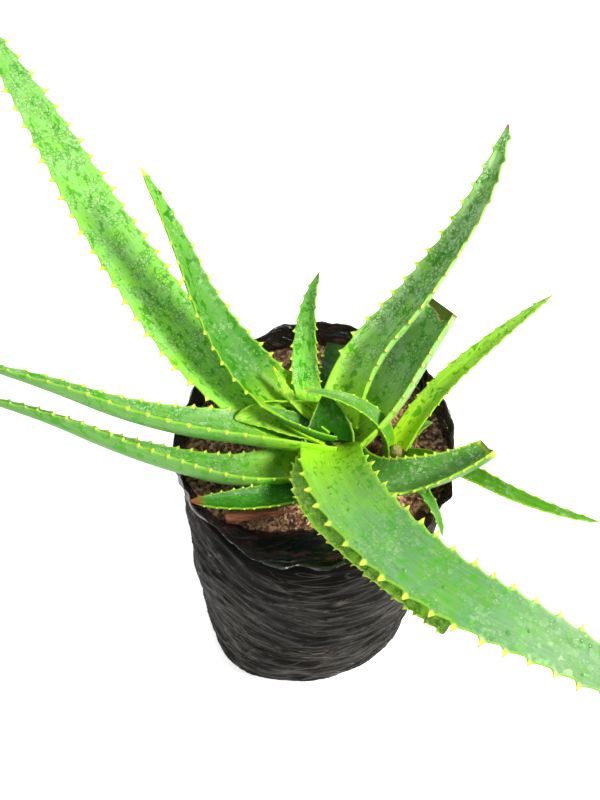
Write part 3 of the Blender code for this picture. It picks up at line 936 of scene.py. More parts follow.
def turn_outwards(piece: Piece) -> None:
    """Turns a closed mesh's faces outwards.

    Args:
        piece: the piece whose mesh is turned.
    """
    work = bmesh.new()
    work.from_mesh(piece.data)
    bmesh.ops.recalc_face_normals(work, faces=work.faces)
    work.to_mesh(piece.data)
    work.free()


def leaf_rows() -> list[AloeLeaf]:
    """Every leaf of the rosette and of the offset beside it, from the heart outwards.

    Returns:
        The leaves.
    """
    yellow = "leaf_yellow_green"
    dark = "leaf_dark_green"
    return [
        AloeLeaf("leaf_heart", (8, -11, 246.5), 31, 38, 3.6, (98, 118), (62, 72), (0, 0), (58, 44), 1.1,
                 pitch=5.0, tooth=1.5, bare=6, sheath=6, skin=SHADE_SKIN, slot=dark),
        AloeLeaf("leaf_centre", (6, 3, 248), 102, 21, 4.4, (161, 98, 74, 40), (40, 63, 72, 60),
                 (0, -2, -3, -3), (55, 47, 42, 31), 1.58, pitch=8.0, tooth=2.4, bare=20, sheath=7,
                 skin=SPOTTED_SKIN, slot=yellow),
        AloeLeaf("leaf_sliver", (3.5, 3, 243), 57, 10, 2.6, (202, 162, 136), (48, 55, 60), (0, 0, 0),
                 (30, 28, 25), 1.4, pitch=8.0, tooth=1.2, bare=28, skin=YELLOW_SKIN, slot=yellow,
                 tip=Tip.YELLOW),
        AloeLeaf("leaf_young", (10, -6, 246), 53, 23, 3.4, (190, 177, 172), (25, 30, 28), (6, 18, 20),
                 (84, 84, 69), 1.8, pitch=7.0, tooth=1.8, bare=12, sheath=1, skin=DARK_SKIN),
        AloeLeaf("leaf_curled", (2, -3, 250), 56, 36, 3.2, (184, 178, 196), (20, 14, -14),
                 (-30, -52, -56), (84, 92, 84), 2.4, pitch=6.6, tooth=1.6, bare=12, skin=YELLOW_SKIN,
                 slot=yellow),
        AloeLeaf("leaf_back_left_inner", (4, 0, 246), 195, 39, 6.4, (174, 146, 124, 137),
                 (36, 39, 53, 48), (-9, -12, 27, 17), (60, 44, 45, 32), 1.08, pitch=11.0, tooth=3.0,
                 bare=34, sheath=6, skin=MOTTLED_SKIN, tip=Tip.YELLOW, tip_length=8.0),
        AloeLeaf("leaf_back_right", (14, 0, 244), 210, 39, 6.6, (79, 28, 38, 70), (49, 42, 50, 48),
                 (-13, -6, -14, -13), (80, 71, 60, 41), 1.5, pitch=11.4, tooth=4.6, bare=34,
                 skin=BACK_SKIN, tip=Tip.RED_BROWN, tip_length=5.0),
        AloeLeaf("leaf_back_left", (4, -2, 238), 367, 42, 7.6, (170, 135, 128, 135), (19, 32, 36, 37),
                 (-12, -4, 2, 6), (46, 34, 26, 21), 2.03, pitch=12.6, tooth=3.9, bare=48, sheath=4,
                 skin=LARGE_SKIN),
        AloeLeaf("leaf_front_right", (10, -11, 240), 335, 43, 7.6, (-99, -59, -25, -21, -20),
                 (36, 10, -10, -26, -38), (0, 8, 14, 12, 10), (48, 26, 20, 20, 18), 1.2, pitch=12.6,
                 tooth=3.6, bare=24, sheath=6, skin=FRONT_SKIN),
        AloeLeaf("leaf_left_upper", (3, -5, 240), 219, 41, 6.6, (190, 189, 173, 171), (24, 20, 23, 7),
                 (14, 18, 42, 40), (71, 77, 77, 63), 1.35, pitch=11.4, tooth=3.0, bare=34, sheath=6),
        AloeLeaf("leaf_right_cut", (17, -12, 232), 108, 35, 5.6, (-81, -3, 24), (17, 19, 20),
                 (-1, -2, -36), (55, 63, 66), 1.6, whole=190, pitch=7.2, tooth=2.0, bare=28, sheath=5,
                 skin=OLIVE_SKIN, tip=Tip.CUT_LIME, tip_length=4.0),
        AloeLeaf("leaf_back_right_cut", (20, 0, 238), 102, 50, 6.2, (24, 44, 38), (37, 44, 43),
                 (-9, -20, -26), (66, 74, 62), 1.7, whole=185, pitch=10.4, tooth=2.8, bare=30, sheath=6,
                 torn=9.0, skin=TORN_SKIN, tip=Tip.CUT, tip_length=2.0),
        AloeLeaf("leaf_left_lower", (4, -9, 232), 231, 40, 6.6, (223, 176, 166, 172), (7, 15, 17, 7),
                 (-6, 34, 60, 40), (62, 70, 75, 63), 1.4, pitch=9.0, tooth=3.0, bare=38, sheath=4),
        AloeLeaf("leaf_front_cut", (8, -11, 230), 163, 27, 5.6, (-127, -53, -38), (36, 8, -12),
                 (0, 10, 14), (48, 26, 18), 1.5, whole=225, pitch=6.2, tooth=2.4, bare=30, sheath=3,
                 pleat=2.6, skin=FOLDED_SKIN, tip=Tip.CUT_GREEN, tip_length=3.0),
        AloeLeaf("leaf_back_cut", (12, 6, 233), 67, 24, 6.0, (90, 82), (14, 10), (0, 0), (45, 34), 1.5,
                 whole=120, pitch=10, tooth=2.4, bare=30, sheath=3, skin=SHADOWED_BACK_SKIN, slot=dark,
                 tip=Tip.CUT_SHADED, tip_length=2.0),
        AloeLeaf("leaf_front_left", (5, -12, 227), 107, 30, 4.8, (262, 203, 181), (11, 17, 6),
                 (5, 12, -3), (56, 60, 50), 1.85, pitch=7.0, tooth=2.2, bare=22, sheath=3,
                 skin=SHADOWED_SHORT_SKIN, tip=Tip.DRY, tip_length=11.0),
        AloeLeaf("offset_leaf_right", (55, -3, 225), 139, 18, 4.4, (50, 24, 19), (45, 40, 35),
                 (-8, 0, -2), (50, 38, 30), 1.55, pitch=9.0, tooth=1.8, bare=22, skin=YELLOW_SKIN,
                 slot=yellow),
        AloeLeaf("offset_leaf_arched", (50, -8, 224), 93, 16, 3.8, (163, 175, 181), (91, 42, 1),
                 (-6, -5, 0), (60, 49, 40), 1.64, pitch=9.0, tooth=1.2, bare=24, skin=ARCH_SKIN,
                 slot=yellow, tip=Tip.YELLOW),
        AloeLeaf("offset_leaf_thin", (60, -10, 224), 132, 14, 3.8, (-45, -42, -10), (43, 9, -6),
                 (0, 10, 10), (46, 38, 28), 1.5, pitch=8.6, tooth=1.6, bare=24, skin=THIN_SKIN),
        AloeLeaf("offset_leaf_hanging", (57, -13, 221), 76, 9, 2.8, (-92, -66, -60), (38, 20, -78),
                 (0, 0, 0), (36, 28, 20), 1.8, pitch=8.0, tooth=1.2, bare=20, skin=DARK_SKIN),
        AloeLeaf("offset_leaf_short", (57, -3, 221.5), 31, 15, 3.6, (69, -3), (24, 11), (0, 0), (44, 34),
                 1.9, pitch=7.0, tooth=1.4, bare=12, skin=DARK_SKIN, slot=dark),
        AloeLeaf("offset_leaf_low", (58, -10, 221.0), 28, 11, 2.8, (-12, 4), (6, 2), (0, 0), (34, 26),
                 1.8, pitch=7.0, tooth=1.0, bare=12, skin=DRY_SKIN, slot=dark),
    ]


@dataclass(frozen=True)
class BlackPolythene:
    """Low-density polythene, blown as film: matt and dusty outside, glossy and nearly black inside. The clean
    film's colour is lifted and tinted blue as a painted reflection, the crease valleys get painted shade and
    the creases get painted glints.
    """

    name: str = "black_polythene_dusty"
    dusty: str = "#0A0908"
    worn: str = "#211E1C"
    glint: str = "#5E5955"
    # Painted shade for the valleys between the creases
    valley_shade: str = "#080707"
    # Painted reflection: a near-black lifted and tinted blue, for the reflections in the clean glossy film
    glossy: str = "#14161A"
    # Polythene: 1.51, dulled outside by a powder of dust
    ior: float = 1.51
    specular: float = 0.07
    dull: float = 0.42
    sleek: float = 0.12
    # Real sizes in millimetres: width and run of the drawn streaks, and patches of dust
    streak_mm: float = 3.03
    streak_run_mm: float = 71.4
    dust_mm: float = 45.5
    # Heights in millimetres between which the film is rubbed clean at the foot and shiny at the lip
    foot_clean: Pair = (16.0, 5.0)
    lip_clean: Pair = (233.0, 241.0)
    # Painted glints as thin lines on the creases: gap and run in millimetres, half width in the noise, and
    # strength
    GLINT_LINES = ((7.0, 60.0, 0.018, 0.9), (3.4, 34.0, 0.026, 0.55))

    def material(self) -> Material:
        """Makes the film.

        Returns:
            The material.
        """
        made, tree, shader = blank_material(self.name)
        place = add_node(tree, "TexCoord").outputs["Object"]
        film = add_node(tree, "Attribute", {"attribute_name": "film"}).outputs["Vector"]
        film = add_node(tree, "SeparateXYZ", links={0: film})
        inside, crease, height = film.outputs["X"], film.outputs["Y"], film.outputs["Z"]
        run = 1000 / self.streak_run_mm
        flat = add_node(tree, "VectorMath", TIMES | {1: (run, run, 1000 / self.streak_mm)}, {0: place})
        streaks = add_node(tree, "TexNoise", {"Scale": 1.0, "Detail": 4.0, "Roughness": 0.65},
                           {"Vector": flat.outputs[0]}).outputs["Fac"]
        dust = add_node(tree, "TexNoise", {"Scale": 1000 / self.dust_mm, "Detail": 5.0, "Roughness": 0.65},
                        {"Vector": place}).outputs["Fac"]
        lines = self.crease_glints(tree, dust)
        clean = self.clean_share(tree, inside, height, dust)
        # The clean film takes the glossy colour, whose blue lift is a painted reflection
        colour = add_node(tree, "Mix", RGBA | {MIX_B: paint(self.glossy)},
                          {0: clean, MIX_A: self.dusty_colour(tree, crease, streaks, dust, lines)})
        tree.links.new(colour.outputs[MIX_RESULT], shader.inputs["Base Color"])
        rough = add_node(tree, "MapRange", {"To Min": self.dull, "To Max": self.sleek}, {"Value": clean})
        uneven = add_node(tree, "Math", TIMES_PLUS | {1: 0.12}, {0: dust, 2: rough.outputs[0]})
        tree.links.new(uneven.outputs[0], shader.inputs["Roughness"])
        drawn = add_node(tree, "Bump", {"Strength": 0.5, "Distance": 0.0006}, {"Height": streaks})
        lined = add_node(tree, "Bump", {"Strength": 0.7, "Distance": 0.0007},
                         {"Height": lines, "Normal": drawn.outputs[0]})
        tree.links.new(lined.outputs[0], shader.inputs["Normal"])
        shader.inputs["IOR"].default_value = self.ior
        shader.inputs["Specular IOR Level"].default_value = self.specular
        return made

    def dusty_colour(
        self, tree: Tree, crease: Socket, streaks: Socket, dust: Socket, lines: Socket
    ) -> Socket:
        """Dusty film, paler on raised creases, with painted shade that turns the valleys nearly black and
        painted glints along the creases.

        Args:
            tree: the material's node tree.
            crease: the mesh's share of a crease, from -1 to 1.
            streaks: the drawn streaks.
            dust: the uneven dust.
            lines: the share of the painted glints along the creases.

        Returns:
            The colour.
        """
        drawn = add_node(tree, "Math", TIMES_PLUS | {1: 0.9, 2: -0.35}, {0: streaks})
        ridge = add_node(tree, "Math", TIMES_PLUS | {1: 0.55}, {0: crease, 2: drawn.outputs[0]})
        raised = add_node(tree, "MapRange", SOFT | {"From Min": 0.1, "From Max": 0.75, "To Max": 0.8},
                          {"Value": ridge.outputs[0]})
        # Painted shade: the valleys between the creases turn nearly black
        sunk_shade = add_node(tree, "MapRange", SOFT | {"From Min": -0.05, "From Max": -0.5, "To Max": 0.85},
                        {"Value": ridge.outputs[0]})
        colour = add_node(tree, "Mix", RGBA | {MIX_A: paint(self.dusty), MIX_B: paint(self.worn)},
                          {0: raised.outputs[0]})
        colour = add_node(tree, "Mix", RGBA | {MIX_B: paint(self.valley_shade)},
                          {0: sunk_shade.outputs[0], MIX_A: colour.outputs[MIX_RESULT]})
        # Painted highlight: pale glint lines along the creases
        colour = add_node(tree, "Mix", RGBA | {MIX_B: paint(self.glint)},
                          {0: lines, MIX_A: colour.outputs[MIX_RESULT]})
        soft = add_node(tree, "MapRange", {"From Min": 0.3, "From Max": 0.7, "To Min": 0.7, "To Max": 1.3},
                        {"Value": dust})
        hue = add_node(tree, "HueSaturation",
                       links={"Value": soft.outputs[0], "Color": colour.outputs[MIX_RESULT]})
        return hue.outputs[0]

    def clean_share(self, tree: Tree, inside: Socket, height: Socket, dust: Socket) -> Socket:
        """Where the film is clean and glossy: inside, at the rubbed foot, and on the lip to a ragged line.

        Args:
            tree: the material's node tree.
            inside: 1 on the film's inside.
            height: height in millimetres.
            dust: the uneven dust.

        Returns:
            The share of clean film.
        """
        foot = add_node(
            tree, "MapRange", SOFT | {"From Min": self.foot_clean[0], "From Max": self.foot_clean[1]},
            {"Value": height})
        ragged = add_node(tree, "Math", TIMES_PLUS | {1: 26.0}, {0: dust, 2: height})
        lip = add_node(
            tree, "MapRange", SOFT | {"From Min": self.lip_clean[0], "From Max": self.lip_clean[1],
                                      "To Max": 0.85}, {"Value": ragged.outputs[0]})
        clean = add_node(tree, "Math", LARGER, {0: foot.outputs[0], 1: inside})
        return add_node(tree, "Math", LARGER, {0: clean.outputs[0], 1: lip.outputs[0]}).outputs[0]

    def crease_glints(self, tree: Tree, dust: Socket) -> Socket:
        """Painted glints: thin pale lines along the sharp creases, which droop round the bag.

        Args:
            tree: the material's node tree.
            dust: the uneven dust, which breaks the lines up.

        Returns:
            The share of the painted glint.
        """
        flow = add_node(tree, "Attribute", {"attribute_name": "flow"}).outputs["Vector"]
        lines = []
        for apart, run, wide, most in self.GLINT_LINES:
            flat = add_node(tree, "VectorMath", TIMES | {1: (1 / run, 1 / run, 1 / apart)}, {0: flow})
            wave = add_node(tree, "TexNoise", {"Scale": 1.0, "Detail": 1.0, "Roughness": 0.4},
                            {"Vector": flat.outputs[0]})
            off = add_node(tree, "Math", {"operation": "SUBTRACT", 1: 0.5}, {0: wave.outputs["Fac"]})
            near = add_node(tree, "Math", {"operation": "ABSOLUTE"}, {0: off.outputs[0]})
            line = add_node(tree, "MapRange", SOFT | {"From Min": wide, "From Max": 0.0, "To Max": most},
                            {"Value": near.outputs[0]})
            lines.append(line.outputs[0])
        found = add_node(tree, "Math", LARGER, {0: lines[0], 1: lines[1]})
        broken = add_node(tree, "MapRange", SOFT | {"From Min": 0.38, "From Max": 0.62, "To Min": 0.1},
                          {"Value": dust})
        return add_node(tree, "Math", TIMES, {0: found.outputs[0], 1: broken.outputs[0]}).outputs[0]


@dataclass
class NurseryBag:
    """The soft bag: one continuous film from its flat foot over the rim and down inside. Millimetres."""

    radius: float = 92.5
    foot_radius: float = 90.0
    # The bag leans, so that its foot stands a little to the left
    foot_shift: float = -8.0
    film: float = 0.7
    # Depth of the fold under the front lip
    fold: float = 33.0
    # Points round the bag, up the outside, and down the inside to a height in the compost
    columns: int = 300
    rows: int = 205
    inner_rows: int = 30
    inner_z: float = 202.0
    # Heights at which the outside is given: four below, then the fold's shoulder, waist and lip
    levels: tuple[float, ...] = (48.0, 92.0, 136.0, 180.0)
    shoulder_z: float = 204.0
    waist_z: float = 213.0
    lip_z: float = 223.0
    # The dust ends at a ragged line round this height
    clean_above: float = 231.0
    rim_azimuths: tuple[float, ...] = (-180, -142, -115, -90, -60, -40, -22, 0, 40, 90, 140, 180)
    rim_heights: tuple[float, ...] = (240, 236, 233, 232, 232, 232, 235, 240, 245, 251, 246, 240)
    rim_radii: tuple[float, ...] = (92, 94, 97, 97, 96, 94, 92, 92, 92, 91, 91, 92)

    # The front, where the lip folds over
    FRONT = -92
    # Folds and creases: their run and gap, their height, and their weight in the share of a crease
    CREASES = ((64, 13, 1.4, 0.4), (40, 6.5, 0.9, 0.35), (24, 3.2, 0.4, 0.3))

    @staticmethod
    def hill(azimuth: np.ndarray, centre: float, width: float) -> np.ndarray:
        """A smooth hill of height 1 round an azimuth.

        Args:
            azimuth: degrees.
            centre: where the hill is highest.
            width: degrees over which it falls off.

        Returns:
            The hill's height.
        """
        off = (azimuth - centre + 180) % 360 - 180
        return np.exp(-((off / width) ** 2))

    @staticmethod
    def by_ring(rows: np.ndarray) -> np.ndarray:
        """Vectors by azimuth and row, listed row by row."""
        return rows.transpose(1, 0, 2).reshape(-1, 3)

    @staticmethod
    def run_along(curve: np.ndarray) -> np.ndarray:
        """Distance along a curve of (radius, height) at each of its points."""
        return np.concatenate([[0], np.cumsum(np.hypot(*np.diff(curve, axis=0).T))])

    def centre(self, z: np.ndarray) -> np.ndarray:
        """How far the leaning bag's middle stands to the right at each height."""
        return self.foot_shift * (1 - np.minimum(1.0, z / 200.0)) ** 1.3

    def body(self, azimuth: np.ndarray, z: float) -> np.ndarray:
        """Radius below the shoulder, with soft dents and the two corners of the foot.

        Args:
            azimuth: degrees.
            z: height.

        Returns:
            The radius at each azimuth.
        """
        share = min(1.0, z / 200.0)
        a = np.radians(azimuth)
        r = self.foot_radius + (self.radius - self.foot_radius) * share + 1.6 * math.sin(math.pi * share)
        r = r + 0.9 * np.sin(3 * a + z / 31.0) + 0.7 * np.sin(5 * a - z / 23.0 + 1.0)
        r = r + 8.0 * self.hill(azimuth, -125, 20) * max(0.0, 1 - z / 46.0)
        return r + 5.0 * self.hill(azimuth, -35, 16) * max(0.0, 1 - abs(z - 30) / 40.0)

    def profiles(self, azimuth: np.ndarray) -> np.ndarray:
        """Radius and height at each level of the outside.

        Args:
            azimuth: degrees.

        Returns:
            An array by azimuth, level and (radius, height).
        """
        fold = self.fold * self.hill(azimuth, self.FRONT, 42)
        wrapped = (azimuth + 180) % 360 - 180
        rim = np.interp(wrapped, self.rim_azimuths, self.rim_radii)
        rim_z = np.interp(wrapped, self.rim_azimuths, self.rim_heights)
        foot = self.body(azimuth, 0)
        upper = self.body(azimuth, 200)
        flat = np.zeros_like(azimuth)
        # The foot is flat, with a rounded edge
        pairs = [(foot - 13, flat), (foot - 4, flat + 3.4), (self.body(azimuth, 12), flat + 12)]
        pairs += [(self.body(azimuth, z), flat + z) for z in self.levels]
        pairs.append((upper - 0.22 * fold, flat + self.shoulder_z))
        pairs.append((upper - fold, flat + self.waist_z))
        pairs.append((rim - 0.46 * fold, flat + self.lip_z))
        pairs.append((rim, rim_z))
        return np.stack([np.stack(pair, 1) for pair in pairs], 1)

    def dense(self, azimuth: np.ndarray, parts: int = 24) -> np.ndarray:
        """The profiles as smooth curves through their levels.

        Args:
            azimuth: degrees.
            parts: points between two levels.

        Returns:
            An array by azimuth, place and (radius, height).
        """
        knots = self.profiles(azimuth)
        before = 2 * knots[:, :1] - knots[:, 1:2]
        after = 2 * knots[:, -1:] - knots[:, -2:-1]
        ends = np.concatenate([before, knots, after], 1)
        made = []
        for k in range(knots.shape[1] - 1):
            p0, p1, p2, p3 = (ends[:, k + i] for i in range(4))
            pairs = ((p0, p1), (p1, p2), (p2, p3))
            chord = [np.sqrt(np.linalg.norm(b - a, axis=1))[:, None] for a, b in pairs]
            m1 = p2 - p1 + chord[1] * ((p1 - p0) / chord[0] - (p2 - p0) / (chord[0] + chord[1]))
            m2 = p2 - p1 + chord[1] * ((p3 - p2) / chord[2] - (p3 - p1) / (chord[1] + chord[2]))
            for f in np.arange(parts) / parts:
                made.append((2 * f ** 3 - 3 * f ** 2 + 1) * p1 + (f ** 3 - 2 * f ** 2 + f) * m1
                            + (3 * f ** 2 - 2 * f ** 3) * p2 + (f ** 3 - f ** 2) * m2)
        made.append(knots[:, -1])
        return np.maximum(np.stack(made, 1), 0.0)

    def outside(self, azimuth: np.ndarray) -> np.ndarray:
        """The smooth profiles with their points spread evenly.

        Args:
            azimuth: degrees.

        Returns:
            An array by azimuth, row and (radius, height).
        """
        made = []
        for curve in self.dense(azimuth):
            run = self.run_along(curve)
            at = np.linspace(0, run[-1], self.rows)
            made.append(np.stack([np.interp(at, run, curve[:, k]) for k in range(2)], 1))
        return np.array(made)

    def inside(self, outside: np.ndarray) -> np.ndarray:
        """The way back down from the rim, along the outside, into the compost.

        Args:
            outside: an array by azimuth, row and (radius, height).

        Returns:
            The same for the inside.
        """
        shares = np.linspace(0, 1, self.inner_rows + 1)[1:]
        made = []
        for profile in outside:
            curve = profile[::-1]
            run = self.run_along(curve)
            at = shares * np.interp(-self.inner_z, -curve[:, 1], run)
            made.append(np.stack([np.interp(at, run, curve[:, k]) for k in range(2)], 1))
        return np.array(made)

    def inner_radius(self, azimuth: np.ndarray, z: float) -> np.ndarray:
        """The film's inside radius at a height."""
        return np.array([np.interp(z, c[:, 1], c[:, 0]) for c in self.dense(azimuth)]) - self.film

    def creases(self, azimuth: np.ndarray, z: np.ndarray) -> tuple[np.ndarray, np.ndarray, np.ndarray]:
        """Folds and fine creases of the film.

        Args:
            azimuth: degrees, one for each point.
            z: height of each point.

        Returns:
            How far each point moves outwards, its share of a crease from -1 to 1, and its place along the
            creases' flow in millimetres.
        """
        a = np.radians(azimuth)
        x, y = np.cos(a) * self.radius, np.sin(a) * self.radius
        slow = np.stack([x / 70, y / 70, z / 90], 1)
        # The creases droop, and are pulled up towards the left corner of the lip
        pull = self.hill(azimuth, -150, 34)
        drop = z + 13 * ripples(slow, 1.0) + pull * 26 * np.sin((azimuth + 190) / 40)
        total = np.zeros_like(z)
        share = np.zeros_like(z)
        for run, gap, high, weight in self.CREASES:
            places = np.stack([x / run, y / run, drop / gap + run], 1)
            # Sharp ridges with flat valleys between them
            ridge = np.clip(1 - 3.4 * np.abs(ripples(places, 1.0)), -0.7, 1)
            ridge = np.where(ridge > 0, ridge ** 1.6, ridge)
            total += high * ridge
            share += weight * ridge
        dents = np.stack([x / 38, y / 38, drop / 30 + 7], 1)
        total += 1.5 * ripples(dents, 1.0)
        # The glossy collar is crumpled
        crumple = np.stack([x / 15, y / 15, z / 15 + 3], 1)
        fine = np.stack([x / 6, y / 6, z / 9 + 8], 1)
        total += smooth(200, 222, z) * (3.0 * ripples(crumple, 1.0) + 1.0 * ripples(fine, 1.0))
        # Upright pleats where the loose collar is gathered at the right and back
        pleats = self.hill(azimuth, -6, 26) + 0.6 * self.hill(azimuth, 60, 40)
        total += smooth(205, 232, z) * pleats * 0.8 * np.sin(a * 34 + 2 * ripples(slow, 1.0))
        # The foot is pulled smooth
        fade = smooth(1.0, 14.0, z)
        return total * (0.25 + 0.75 * fade), share, np.stack([x, y, drop], 1)

    def rim_wave(self, azimuth: np.ndarray, z: np.ndarray) -> np.ndarray:
        """The slight up and down of the rim.

        Args:
            azimuth: degrees.
            z: heights, of which only those near the rim move.

        Returns:
            How far each point moves up.
        """
        a = np.radians(azimuth)
        wave = 1.5 * np.sin(5 * a + 1) + 0.9 * np.sin(11 * a) + 0.6 * np.sin(23 * a + 2)
        front = self.hill(azimuth, self.FRONT, 50)
        wave = wave + front * (1.6 * np.sin(17 * a + 1) + 1.2 * np.sin(29 * a))
        return smooth(218, 240, z) * (wave - 1.5)

    def build(self) -> Piece:
        """Builds the film's mesh, dresses it and puts it in its node's place.

        Returns:
            The bag.
        """
        azimuth = np.arange(self.columns) * 360.0 / self.columns
        outside = self.outside(azimuth)
        lip = outside[:, -1:] + np.array([-0.5 * self.film, 0.25])
        rows = np.concatenate([outside, lip, self.inside(outside)], 1)
        count = rows.shape[1]
        degrees = np.repeat(azimuth[:, None], count, 1)
        a = np.radians(degrees)
        r, z = rows[..., 0].copy(), rows[..., 1].copy()
        moved, crease, flow = self.creases(degrees.ravel(), z.ravel())
        is_inner = np.zeros_like(r)
        is_inner[:, self.rows + 1 :] = 1
        r += moved.reshape(r.shape)
        r -= is_inner * self.film
        z += self.rim_wave(degrees, z)
        points = self.by_ring(np.stack([self.centre(z) + r * np.cos(a), r * np.sin(a), z], 2))
        film = self.by_ring(np.stack([is_inner, crease.reshape(r.shape), z], 2))
        flow = self.by_ring(flow.reshape(r.shape + (3,)))
        ragged = points[:, 2] + 9 * ripples(points, 11.0) + 4 * ripples(points + 70, 4.0)
        # One more point closes the foot
        points = np.vstack([points, [self.foot_shift, 0.0, 0.0]])
        fields = {"film": np.vstack([film, np.zeros(3)]), "flow": np.vstack([flow, np.zeros(3)])}
        faces = grid_faces(count, self.columns)
        faces += cone_faces(0, self.columns, count * self.columns, True)
        made = mesh_piece("polythene_bag", points, faces, fields)
        made.data.materials.append(BlackPolythene().material())
        made.data.materials.append(BlackPolythene("black_polythene_clean", specular=0.95).material())
        # The inside and a ragged strip along the lip are free of dust
        inside_from = self.rows * self.columns
        clean = [1 if face[0] >= inside_from or (len(face) == 4 and ragged[face[0]] > self.clean_above) else 0
                 for face in faces]
        made.data.polygons.foreach_set("material_index", clean)
        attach(made, "root")
        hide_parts("polybag")
        return made


@dataclass(frozen=True)
class MoistCompost:
    """Peat and bark compost, tipped and watered: crumbly, dark red-brown, with paler bits of fibre."""

    name: str = "moist_compost"
    dark: str = "#2E1C13"
    middle: str = "#7A533E"
    pale: str = "#D0AA86"
    # Crumbs of 1 to 3 mm
    crumb_mm: float = 1.6

    # Clumps of one tone are wider than the crumbs by this factor
    CLUMP = 1.6

    def material(self) -> Material:
        """Makes the compost.

        Returns:
            The material.
        """
        made, tree, shader = blank_material(self.name)
        place = add_node(tree, "TexCoord").outputs["Object"]
        scale = 1000.0 / self.crumb_mm
        cells = add_node(tree, "TexVoronoi", {"Scale": scale / self.CLUMP}, {"Vector": place})
        tone = add_node(tree, "SeparateColor", links={0: cells.outputs["Color"]})
        fine = add_node(tree, "TexNoise", {"Scale": scale, "Detail": 4.0, "Roughness": 0.7},
                        {"Vector": place})
        joined = add_node(tree, "Math", TIMES_PLUS | {1: 0.5}, {0: tone.outputs[0], 2: fine.outputs["Fac"]})
        ramp = add_node(tree, "ValToRGB", links={0: joined.outputs[0]})
        stops = ramp.color_ramp.elements
        stops[0].position = 0.42
        stops[0].color = paint(self.dark)
        stops[1].position = 1.0
        stops[1].color = paint(self.pale)
        stops.new(0.72).color = paint(self.middle)
        tree.links.new(ramp.outputs[0], shader.inputs["Base Color"])
        shader.inputs["Roughness"].default_value = 0.85
        bump = add_node(tree, "Bump", {"Strength": 0.8, "Distance": 0.0008}, {"Height": fine.outputs["Fac"]})
        tree.links.new(bump.outputs[0], shader.inputs["Normal"])
        return made


@dataclass(frozen=True)
class DryFibre:
    """Dead plant fibre, dried and split: matt, with lengthwise grain."""

    name: str
    dark: str
    pale: str
    # Gap between fibres, and how much of it each direction's pattern keeps: least along the fibre
    grain_mm: float = 0.6
    along: Triple = (1.0, 1.0, 0.12)
    roughness: float = 0.8

    def material(self) -> Material:
        """Makes the fibre.

        Returns:
            The material.
        """
        made, tree, shader = blank_material(self.name)
        place = add_node(tree, "TexCoord").outputs["Object"]
        scale = tuple(1000.0 / self.grain_mm * share for share in self.along)
        flat = add_node(tree, "VectorMath", TIMES | {1: scale}, {0: place})
        grain = add_node(tree, "TexNoise", {"Scale": 0.5, "Detail": 4.0, "Roughness": 0.65},
                         {"Vector": flat.outputs[0]})
        share = add_node(tree, "MapRange", {"From Min": 0.3, "From Max": 0.7},
                         {"Value": grain.outputs["Fac"]})
        colour = add_node(tree, "Mix", RGBA | {MIX_A: paint(self.dark), MIX_B: paint(self.pale)},
                          {0: share.outputs[0]})
        tree.links.new(colour.outputs[MIX_RESULT], shader.inputs["Base Color"])
        shader.inputs["Roughness"].default_value = self.roughness
        bump = add_node(tree, "Bump", {"Strength": 0.7, "Distance": 0.0005}, {"Height": grain.outputs["Fac"]})
        tree.links.new(bump.outputs[0], shader.inputs["Normal"])
        return made


